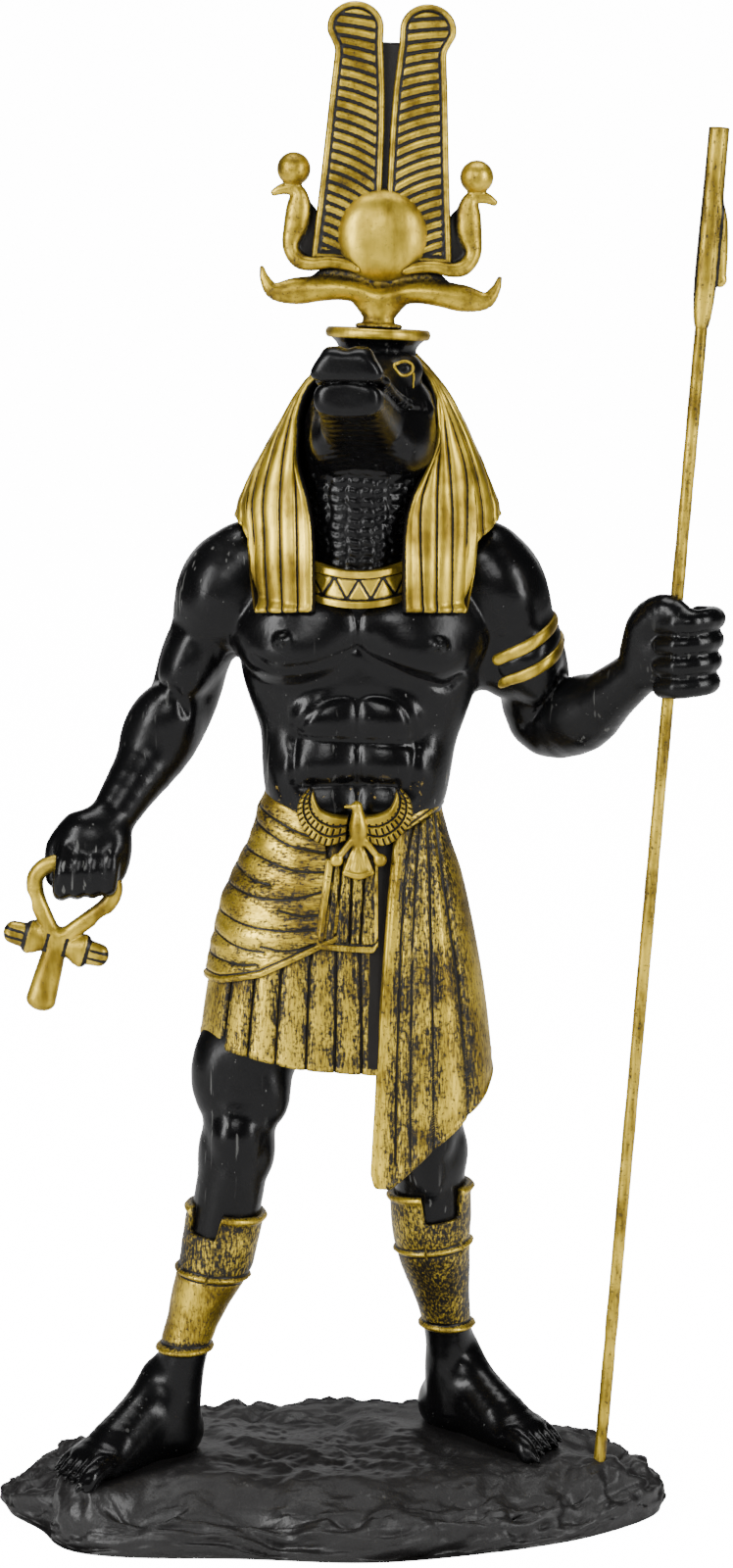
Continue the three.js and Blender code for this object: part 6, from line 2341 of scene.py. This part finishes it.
    def apron(self) -> Skin:
        """The flat apron: left and lower borders raised, three upright grooves."""
        t, c = unit_grid(70, 90)
        low = 107.9 - 0.9 * c + 1.2 * (bump(c, 0.05) + bump(1 - c, 0.05))
        z = low + (125.5 - low) * t
        left = np.interp(z, [107, 125], [-3.9, -1.5])
        x = left + (8.8 - left) * c
        y = -14.8 + 0.13 * (z - 107) + 0.018 * (x - 2.5) ** 2
        foot, top = np.array([0.0, 3.1, 5.2]), np.array([1.4, 3.6, 6.1])
        share = (z - 107.9) / 13.8
        across = np.abs(x[..., None] - (foot + (top - foot) * share[..., None])).min(-1)
        side = x - left - 1.7
        base = z - low - 1.3
        panel = smooth(-0.2, 0.2, side) * smooth(-0.2, 0.2, base) * smooth(8.3, 7.9, x)
        bordered = np.maximum(bump(side, 0.28) * smooth(-0.3, 0.3, base), bump(base, 0.28))
        groove = np.maximum(bump(across, 0.28) * panel, bordered)
        lift = 0.55 * (1 - panel) + 0.2 * np.clip(across / 0.9, 0, 1) * panel - 0.65 * groove
        lift -= 0.3 * (bump(c, 0.03) + bump(1 - c, 0.03) + bump(t, 0.04))
        outer = np.stack([x, y - 1.1 - lift, z], axis=-1)
        inner = np.stack([x, y + 3.4, z], axis=-1)
        return sheet_skin(outer, inner, {"groove": groove, "raised": 1 - panel})

    def build(
        self, skirt_gold: bpy.types.Material, wrap_gold: bpy.types.Material, apron_gold: bpy.types.Material
    ) -> None:
        """Adds the cloths and the belt.

        Args:
            skirt_gold: Paint of the skirt.
            wrap_gold: Paint of the wrapped cloth and the belt.
            apron_gold: Paint of the apron.
        """
        build("kilt_skirt", self.skirt(), skirt_gold, Slot.GOLD, FIGURE)
        build("kilt_wrap", self.wrap(), wrap_gold, Slot.GOLD, FIGURE)
        build("belt", self.belt(), wrap_gold, Slot.GOLD, FIGURE)
        build("apron", self.apron(), apron_gold, Slot.GOLD, FIGURE)


@dataclass(frozen=True)
class Drape:
    """The drape over the thigh on the sceptre's side, falling to a point, its folds gathered at the belt."""

    rows: tuple = (
        (57, 17.4, -2, 14.5, 15.6, 9),
        (70, 17.2, -1.6, 14, 15.6, 10),
        (84, 16.8, -0.6, 14.2, 16.2, 12),
        (100, 16, 0, 13.0, 15.9, 12.6),
        (118, 14.8, 0, 10.6, 13.6, 11),
        (127, 13.7, 0, 8.8, 11.4, 9.6),
        (136, 12.9, 0, 7.2, 9.0, 8),
    )
    power: float = 2.4
    left: tuple = ((59, 8.7), (62, 8.0), (84, 8.9), (92.6, 9.3), (118, 11.0), (136, 12.6))
    hem: tuple = (
        (59.2, 11.2), (60.6, 13.2), (68.1, 20.8), (72.8, 26.0), (75.5, 28.6), (77.4, 29.9), (80, 30.9),
        (83, 31.2),
    )
    lines: tuple = (
        ((62.1, 12.2), (82.8, 12.5), (109.3, 13.3), (121.1, 14.0), (131, 15.4)),
        ((76.0, 15.2), (82.8, 15.2), (109.3, 15.6), (121.1, 16.2), (131, 16.8)),
        ((66.0, 19.8), (94, 19.6), (121, 18.9), (133, 18.4)),
        ((78, 26.6), (82, 26.2), (101.3, 24.4), (120.2, 21.6), (134, 19.8)),
    )
    # Folds round the hip, as angles from +X
    side_folds: tuple = (0.0, 0.42, 0.85)
    foot: float = 59.0

    def skin(self) -> Skin:
        """The sheet: columns from its front edge round the hip, rows from its hem up."""
        t, c = unit_grid(140, 190)
        top = np.interp(c, [0, 0.3, 0.5, 1], [130.4, 133.2, 134.8, 135.2])
        z = self.foot + (top - self.foot) * t**1.15
        form = Slices(self.rows, self.power)
        left = on_line(self.left, z)
        start = form.front_angle(left, z)
        hem = form.front_angle(on_line(self.hem, z), z)
        finish = hem + (1.25 - hem) * smooth(80.5, 91.0, z)
        angle = start + (finish - start) * c
        points, outward = form.surface(z, angle)
        x = points[..., 0]
        front = angle < 0
        in_front = np.min([np.abs(x - on_line(line, z)) for line in self.lines], axis=0)
        aside = np.min([np.abs(angle - a) for a in self.side_folds], axis=0) * 12
        gap = np.minimum(np.where(front, in_front, 9.0), aside)
        border = smooth(1.3, 0.9, x - left) * front
        groove = bump(gap, 0.3) * np.where(front, smooth(60.5, 66.0, z), 1.0)
        edge_gap = (finish - angle) * 14
        rolled = bump(edge_gap - 0.8, 0.7) * smooth(88, 80, z)
        relief = 0.6 * np.clip(gap / 2.6, 0, 1) ** 0.7 - 0.5 * groove + 0.4 * border + 0.25 * rolled
        relief -= 0.5 * (bump(c, 0.012) + bump(1 - c, 0.012) + bump(t, 0.012))
        outer = points + outward * (0.3 + relief)[..., None]
        inner = points - outward * 1.7
        solid = 0.9 * smooth(2.6, 1.4, x - left) * front
        raised = np.maximum(np.maximum(border, solid), 0.7 * np.clip(gap / 2.6, 0, 1))
        return sheet_skin(outer, inner, {"groove": np.clip(groove, 0, 1), "raised": raised})

    def build(self, gold: bpy.types.Material) -> None:
        """Adds the piece."""
        build("thigh_drape", self.skin(), gold, Slot.GOLD, FIGURE)


@dataclass(frozen=True)
class BeltBird:
    """The bird on the belt: wings spread in three tiers of feathers, a disc in each foot, its tail a fan."""

    middle: float = 4.9
    cell: float = 0.22
    # Front edge of the wing and its outer edge, from the body to the tip: distance from the middle, height
    near_edge: tuple = ((1.3, 134.0), (4.5, 134.4), (6.7, 135.4), (7.7, 137.1), (8.2, 139.1))
    far_edge: tuple = (
        (1.6, 129.4), (5.4, 128.2), (8.2, 129.3), (10.3, 131.4), (11.4, 134.1), (10.9, 137.1), (8.9, 139.6),
    )
    feathers: int = 11

    def wing(self, side: int) -> Skin:
        """A wing: a sheet between its two edges, with a groove after every tier and between its feathers.

        Args:
            side: 1 for the wing on the sceptre's side, -1 for the other.

        Returns:
            The skin.
        """
        rows, columns = 180, 66
        u, v = unit_grid(rows, columns)
        near = spline(self.near_edge, rows)[:, None]
        far = spline(self.far_edge, rows)[:, None]
        flat = near + (far - near) * v[..., None]
        reach, z = flat[..., 0], flat[..., 1]
        wide = np.linalg.norm(far - near, axis=-1)
        tier = np.clip(v * 3, 0, 2.999)
        share = tier % 1
        count = self.feathers + 2 * np.floor(tier)
        step = np.abs(u * count % 1 - 0.5) * 2
        length = np.linalg.norm(np.gradient(flat, axis=0), axis=-1) * rows
        between = bump((1 - step) * length / count / 2, 0.2) * smooth(0.14, 0.3, share) * (tier > 0.7)
        seam = bump(np.minimum(np.abs(v - 1 / 3), np.abs(v - 2 / 3)) * wide, 0.3)
        groove = np.clip(np.maximum(between, seam), 0, 1)
        edge = np.minimum(np.minimum(v, 1 - v) * wide, np.minimum(u, 1 - u) * 18)
        raised = rounded(edge, 0.6)
        front = -13.0 + 0.016 * reach**2
        y = front - 0.35 - 0.75 * raised - 0.25 * share + 0.45 * groove
        x = self.middle - 0.7 + side * reach
        outer = np.stack([x, y, z], axis=-1)
        inner = np.stack([x, front + 2.6, z], axis=-1)
        return sheet_skin(outer, inner, {"groove": groove, "raised": raised})

    def clay(self) -> Clay:
        """Models the body, the head, the legs with their discs, and the tail."""
        form = Clay(self.cell)
        m = self.middle
        body = ((m - 0.1, -13.6, 135.4, 1.0, 1.2), (m, -13.8, 132.2, 1.85, 1.7), (m, -13.6, 129.2, 1.5, 1.4))
        form.add(Limb(body, steps=10))
        form.add(Lump((m - 0.3, -13.9, 136.3), (1.05, 1.2, 1.1)), 0.6)
        form.add(Limb(((m - 1.0, -14.2, 136.4, 0.5), (m - 2.6, -14.3, 136.3, 0.24)), steps=3), 0.3)
        for side in (-1, 1):
            leg = ((m + side * 1.3, -13.8, 129.4, 0.75), (m + side * 3.4, -14.6, 126.8, 0.65))
            form.add(Limb(leg, steps=4), 0.5)
            form.add(Lump((m + side * 4.3, -14.8, 125.7), (1.3, 0.9, 1.3)), 0.3)
            tail_side = ((m + side * 0.9, -13.8, 127.6, 0.5), (m + side * 2.6, -15.0, 123.2, 0.55))
            form.add(Limb(tail_side, steps=4), 0.3)
        tail_end = ((m - 2.5, -15.0, 123.2, 0.6), (m, -15.1, 122.6, 0.8), (m + 2.5, -15.0, 123.2, 0.6))
        form.add(Limb(tail_end, steps=8), 0.3)
        form.add(Limb(((m, -13.9, 128.0, 0.9), (m, -14.6, 123.4, 2.2, 0.9)), steps=6), 0.2)
        for k in (-1, 0, 1):
            score = ((m + 0.35 * k, -15.0, 127.4, 0.2), (m + 1.2 * k, -15.6, 123.9, 0.3))
            form.cut(Limb(score, steps=3), 0.2)
        return form

    def build(self, gold: bpy.types.Material) -> None:
        """Adds the piece."""
        body = self.clay().skin()
        body.values = {"groove": np.zeros(len(body.points)), "raised": np.ones(len(body.points))}
        build("belt_bird", merged(body, self.wing(1), self.wing(-1)), gold, Slot.GOLD, FIGURE)


@dataclass(frozen=True)
class Crown:
    """Twin plumes, sun disc, horns, two serpents and the stem, standing on the head block."""

    seat: Seat = Seat()
    gap: float = 0.3
    plume_half: float = 1.7
    barbs: int = 23
    left: tuple = ((12.8, 0.42), (25, 0.42), (38, 0.5), (46.6, 0.8), (55, 1.55))
    outer: tuple = (
        (12.8, 13.8), (30, 12.5), (45, 11.5), (51, 11.05), (53.6, 10.95), (55.2, 11.6), (57, 12.5),
        (58.6, 12.6),
    )
    sun_height: float = 18.0
    # Lumps of rough glue round the stem's foot: x, y, size
    glue: tuple = (
        (-3.2, -1.6, 1.0), (-1.2, -2.4, 1.2), (1.4, -2.3, 1.0), (3.3, -1.4, 1.1), (3.4, 1.2, 1.0),
        (0, 2.4, 1.4), (-3.2, 1.2, 1.1),
    )
    # Height of a plume's foot, and of the foot of the arch on its top
    plume_foot: float = 12.8
    arch_foot: float = 58.0

    def _put(self, skin: Skin, side: int = 1) -> Skin:
        """A skin drawn on a level seat at the origin, set in place, mirrored where side is -1."""
        points = self.seat.put(skin.points * [side, 1, 1] + [0, 0, self.gap])
        return Skin(points, skin.quads, skin.triangles, skin.values).outward()

    def outline(self) -> tuple[np.ndarray, np.ndarray]:
        """Left and right side of a plume, each (200, 2), from the foot up to where they meet on the arch."""
        z = np.linspace(self.plume_foot, self.arch_foot, 160)
        right = np.stack([on_line(spline(self.outer, 400), z), z], axis=1)
        left = np.stack([on_line(self.left, z), z], axis=1)
        middle, radius = (right[-1, 0] + left[-1, 0]) / 2, (right[-1, 0] - left[-1, 0]) / 2
        angle = np.linspace(0, math.pi / 2, 41)[1:]
        arch = np.stack([radius * np.cos(angle), self.arch_foot + radius * 0.92 * np.sin(angle)], axis=1)
        left = np.vstack([left, [middle, 0] + arch * [-1, 1]])
        right = np.vstack([right, [middle, 0] + arch])
        return left, right

    def plume(self) -> Skin:
        """A plume: a sheet between its two sides, with a raised rim and curved barbs in a dark field."""
        left, right = self.outline()
        across = (1 - np.cos(np.linspace(0, math.pi, 60))) / 2
        flat = left[:, None] + (right - left)[:, None] * across[None, :, None]
        x, z = flat[..., 0], flat[..., 1]
        inside = nearest_line(x, z, [np.vstack([left, right[::-1], left[:1]])])
        rim = smooth(1.2, 0.95, inside)
        channel = bump(inside - 1.4, 0.36)
        low_x = on_line(self.left, z)
        high_x = on_line(self.outer, z)
        reach = (x - low_x) / np.maximum(high_x - low_x, 1)
        slope = np.interp(z, [12, 30, 60], [7.5, 4.6, 1.0])
        drop = slope * (1 - np.clip(reach, 0, 1)) ** 1.6
        pitch = 46.5 / self.barbs
        phase = (z + drop - 12.0) / pitch
        barb = smooth(0.82, 0.38, np.abs(phase % 1 - 0.5) * 2)
        field = smooth(1.2, 1.7, inside)
        height = rim + (1 - rim) * (0.45 + 0.45 * barb * field) - 0.25 * channel
        half = self.plume_half * (0.45 + 0.55 * rounded(inside, 0.7)) * (0.62 + 0.38 * height)
        outer = np.stack([x, -half, z], axis=-1)
        inner = np.stack([x, half, z], axis=-1)
        # Painted shade: darker near the plume's edges, inside the rim, and towards its foot
        shade = 0.55 * smooth(2.6, 1.3, inside) + 0.3 * smooth(36, 14, z)
        groove = np.maximum(np.maximum((1 - barb) * field, channel), shade)
        groove = np.clip(groove * (1 - rim), 0, 1)
        raised = np.maximum(rim, barb * field * 0.6)
        return sheet_skin(outer, inner, {"groove": groove, "raised": raised}, thin=2)

    def horns(self) -> Clay:
        """The wavy horns on their stem."""
        form = Clay(0.33)
        stem = ((0, 0, 0.6, 3.3, 2.4), (0, 0, 2.4, 3.2, 2.4), (0, 0, 5.4, 5.6, 2.3))
        form.add(Limb(stem, steps=10))
        form.cut(Lump((0, 0, -1.5), (9, 9, 1.5)), 0.1)
        for x, y, size in self.glue:
            form.add(Lump((x, y, 0.25), (size * 1.3, size, 0.6)), 0.5)
        for side in (-1, 1):
            horn = (
                (0, 0, 5.6, 2.2, 2.2),
                (side * 6.2, -0.2, 7.1, 2.15, 2.3),
                (side * 11.4, -0.2, 7.0, 2.4, 2.3),
                (side * 16.4, 0, 6.4, 2.65, 2.1),
                (side * 20.6, 0, 6.1, 1.7, 1.6),
                (side * 22.6, 0, 8.4, 1.0, 1.0),
                (side * 23.3, 0, 10.6, 0.5, 0.5),
            )
            form.add(Limb(horn, steps=26), 0.8)
        form.add(Lump((0, 0.2, 9.0), (13.4, 0.9, 4.0)), 0.8)
        return form

    def serpent(self) -> Clay:
        """A rearing serpent with a beaked head, its hood scored across, and its little sun."""
        form = Clay(0.3)
        rows = (
            (4.8, -2.0, 11.2, 0.8, 0.8),
            (7.0, -2.0, 12.0, 1.1, 1.1),
            (10.4, -1.8, 12.3, 1.2, 1.2),
            (13.4, -1.2, 11.8, 1.35, 1.3),
            (16.2, -0.6, 12.4, 1.55, 1.5),
            (17.9, -0.2, 15.2, 1.6, 1.5),
            (17.0, 0, 19.4, 2.4, 1.8),
            (16.6, 0, 22.8, 2.4, 1.8),
            (16.8, 0, 25.4, 1.6, 1.5),
            (18.4, 0, 26.3, 1.35, 1.2),
            (20.2, -0.2, 26.0, 1.05, 0.9),
            (21.6, -0.2, 25.3, 0.7, 0.6),
        )
        form.add(Limb(rows, steps=44))
        form.cut(Limb(((20.4, -1.6, 25.6, 0.22), (21.9, -1.4, 25.0, 0.22)), steps=2), 0.2)
        form.cut(Limb(((15.2, -2.4, 20.6, 0.3), (17.6, -2.4, 23.8, 0.3)), steps=3), 0.3)
        form.add(Lump((17.9, 0, 27.4), (1.5, 1.3, 1.2)), 0.6)
        form.add(Lump((17.9, 0, 30.1), (3.28, 3.28, 3.28)), 0.35)
        # The web between the serpent and the plume, which the groove value in build paints dark as shade
        form.add(Lump((14.6, 0.5, 17.0), (2.6, 0.7, 6.6)), 0.6)
        return form

    def sun(self) -> Skin:
        """The domed disc."""
        profile = (
            (0.02, -4.6), (2.6, -4.5), (5.2, -4.0), (7.2, -3.0), (8.6, -1.6), (9.15, -0.4), (9.0, 0.8),
            (8.1, 1.6), (4, 2.0), (0.02, 2.1),
        )
        rings = revolved(spline(profile, 44), 90)
        return ring_skin(rings[..., [0, 2, 1]] + [0, 0, self.sun_height])

    def web(self) -> Skin:
        """The plain strip between the plumes."""
        z, x = np.meshgrid(np.linspace(6.0, 55.4, 60), np.linspace(-2.2, 2.2, 12), indexing="ij")
        dip = 0.25 * bump(x, 1.6)
        outer = np.stack([x, -0.85 + dip, z], axis=-1)
        inner = np.stack([x, 0.85 - dip, z], axis=-1)
        return sheet_skin(outer, inner, {"groove": np.ones_like(x) * 0.9})

    def build(self, gold: bpy.types.Material, smooth_gold: bpy.types.Material) -> None:
        """Adds the crown."""
        plume = self.plume()
        plumes = merged(self._put(plume), self._put(plume, -1), self._put(self.web()))
        build("plumes", plumes, gold, Slot.GOLD, CROWN)
        build("sun_disc", self._put(self.sun()), smooth_gold, Slot.GOLD, CROWN)
        horns = self.horns().skin()
        horns.values = {"groove": 0.8 * bump(horns.points[:, 1] - 0.3, 1.3)}
        build("wavy_horns", self._put(horns), gold, Slot.GOLD, CROWN)
        serpent = self.serpent().skin()
        _, y, z = serpent.points.T
        # Painted shade: dark on the web and down the serpent's sides, fading out below its head
        serpent.values = {"groove": 0.9 * bump(y - 0.2, 1.15) * smooth(31.0, 26.0, z)}
        build("serpents", merged(self._put(serpent), self._put(serpent, -1)), gold, Slot.GOLD, CROWN)


@dataclass(frozen=True)
class Sceptre:
    """The rod in its socket, with an animal's head at its top."""

    foot: tuple = (53.8, -8.8, 0.0)
    tip: tuple = (73.9, -18.0, 269.2)
    socket: float = 6.0
    radius: float = 1.25

    def run(self) -> tuple[np.ndarray, np.ndarray, np.ndarray, float]:
        """Foot, direction, a side direction and the length above the socket."""
        foot, tip = np.array(self.foot), np.array(self.tip)
        whole = tip - foot
        length = float(np.linalg.norm(whole))
        direction = whole / length
        across = np.array([1, 0, 0]) - direction * direction[0]
        return foot, direction, across / np.linalg.norm(across), length

    def head(self, foot: np.ndarray, direction: np.ndarray, across: np.ndarray, length: float) -> Clay:
        """The head: a flattened bar that swells downwards, with a muzzle on its outer side and a flat top.

        Args:
            foot: Where the rod leaves the rock.
            direction: Unit vector up the rod.
            across: Unit vector towards the muzzle.
            length: Length from the foot to the tip.

        Returns:
            The modelled head.
        """
        form = Clay(0.3)
        ahead = np.cross(across, direction)
        if ahead[1] > 0:
            ahead = -ahead

        def at(height: float, out: float = 0.0, front: float = 0.0) -> tuple:
            return tuple(foot + direction * (length + height) + across * out + ahead * front)

        bar = (
            (-37.6, 1.45, 1.5),
            (-36, 1.75, 1.7),
            (-31, 2.15, 1.9),
            (-24, 2.2, 2.0),
            (-12, 2.05, 1.95),
            (-3, 2.0, 1.95),
            (2, 2.0, 1.95),
        )
        form.add(Limb(tuple((*at(height), a, b) for height, a, b in bar), steps=20))
        muzzle = (
            (-13.4, 0.8, 1.0, 1.2),
            (-17, 1.8, 1.3, 1.3),
            (-22, 2.3, 1.4, 1.35),
            (-27.4, 2.6, 1.3, 1.25),
            (-29.4, 2.8, 0.9, 1.0),
        )
        form.add(Limb(tuple((*at(height, out, 0.4), a, b) for height, out, a, b in muzzle), steps=14), 0.5)
        form.add(Lump(at(-28.8, 3.2, 0.6), (0.9, 0.9, 1.0)), 0.4)
        form.cut(Lump(at(4.0), (5.0, 5.0, 4.0)), 0.25)
        return form

    def build(self, gold: bpy.types.Material) -> None:
        """Adds the rod and its head."""
        foot, direction, across, length = self.run()
        start, end = foot - direction * self.socket, foot + direction * (length - 36.0)
        share = np.linspace(0, 1, 160)[:, None]
        path = start + (end - start) * share
        wobble = 1 + 0.05 * Grain(8).layered(path, 5.0, 2)
        rows = np.hstack([path, (self.radius * wobble)[:, None]])
        rod = tube(rows, 16, 260, blunt=0.3)
        rod.values["groove"] = 0.47 * bump(rod.points[:, 2] - 180, 9) + 0.45 * bump(rod.points[:, 2] - 159, 4)
        build("sceptre_rod", rod, gold, Slot.GOLD, SCEPTRE)
        head = self.head(foot, direction, across, length).skin()
        aside = (head.points - foot) @ across
        head.values = {"groove": 0.85 * bump(np.abs(aside) - 2.05, 0.5) + 0.6 * bump(aside - 1.0, 0.35)}
        build("sceptre_head", head, gold, Slot.GOLD, SCEPTRE)


def main() -> None:
    """Builds the studio and every piece."""
    logging.basicConfig(level=logging.INFO, format="%(message)s")
    Studio().build()
    scuffs, rubbing = scuffs_effect(), rubbing_effect()
    black, rock_black = SATIN_BLACK.paint(scuffs), ROCK_BLACK.paint(scuffs)
    smooth_gold, crown_gold, staff_gold = (f.paint(rubbing) for f in (SMOOTH_GOLD, CROWN_GOLD, STAFF_GOLD))
    kilt_gold, wrap_gold, drape_gold, guard_gold = (
        f.paint(rubbing) for f in (KILT_GOLD, WRAP_GOLD, DRAPE_GOLD, GUARD_GOLD)
    )
    torso = Torso()
    body = torso.clay()
    torso.build(black)
    for leg in (RIGHT_LEG, LEFT_LEG):
        leg.build(black, guard_gold)
    Rock().build(rock_black)
    Head().build(black, smooth_gold)
    Headcloth().build(body, smooth_gold)
    HeadBlock().build(black, smooth_gold)
    Collar().build(smooth_gold)
    Armlets().build(body, black, smooth_gold)
    Ankh().build(smooth_gold)
    Kilt().build(kilt_gold, wrap_gold, drape_gold)
    Drape().build(drape_gold)
    BeltBird().build(smooth_gold)
    Crown().build(crown_gold, smooth_gold)
    Sceptre().build(staff_gold)


if __name__ == "__main__":
    main()
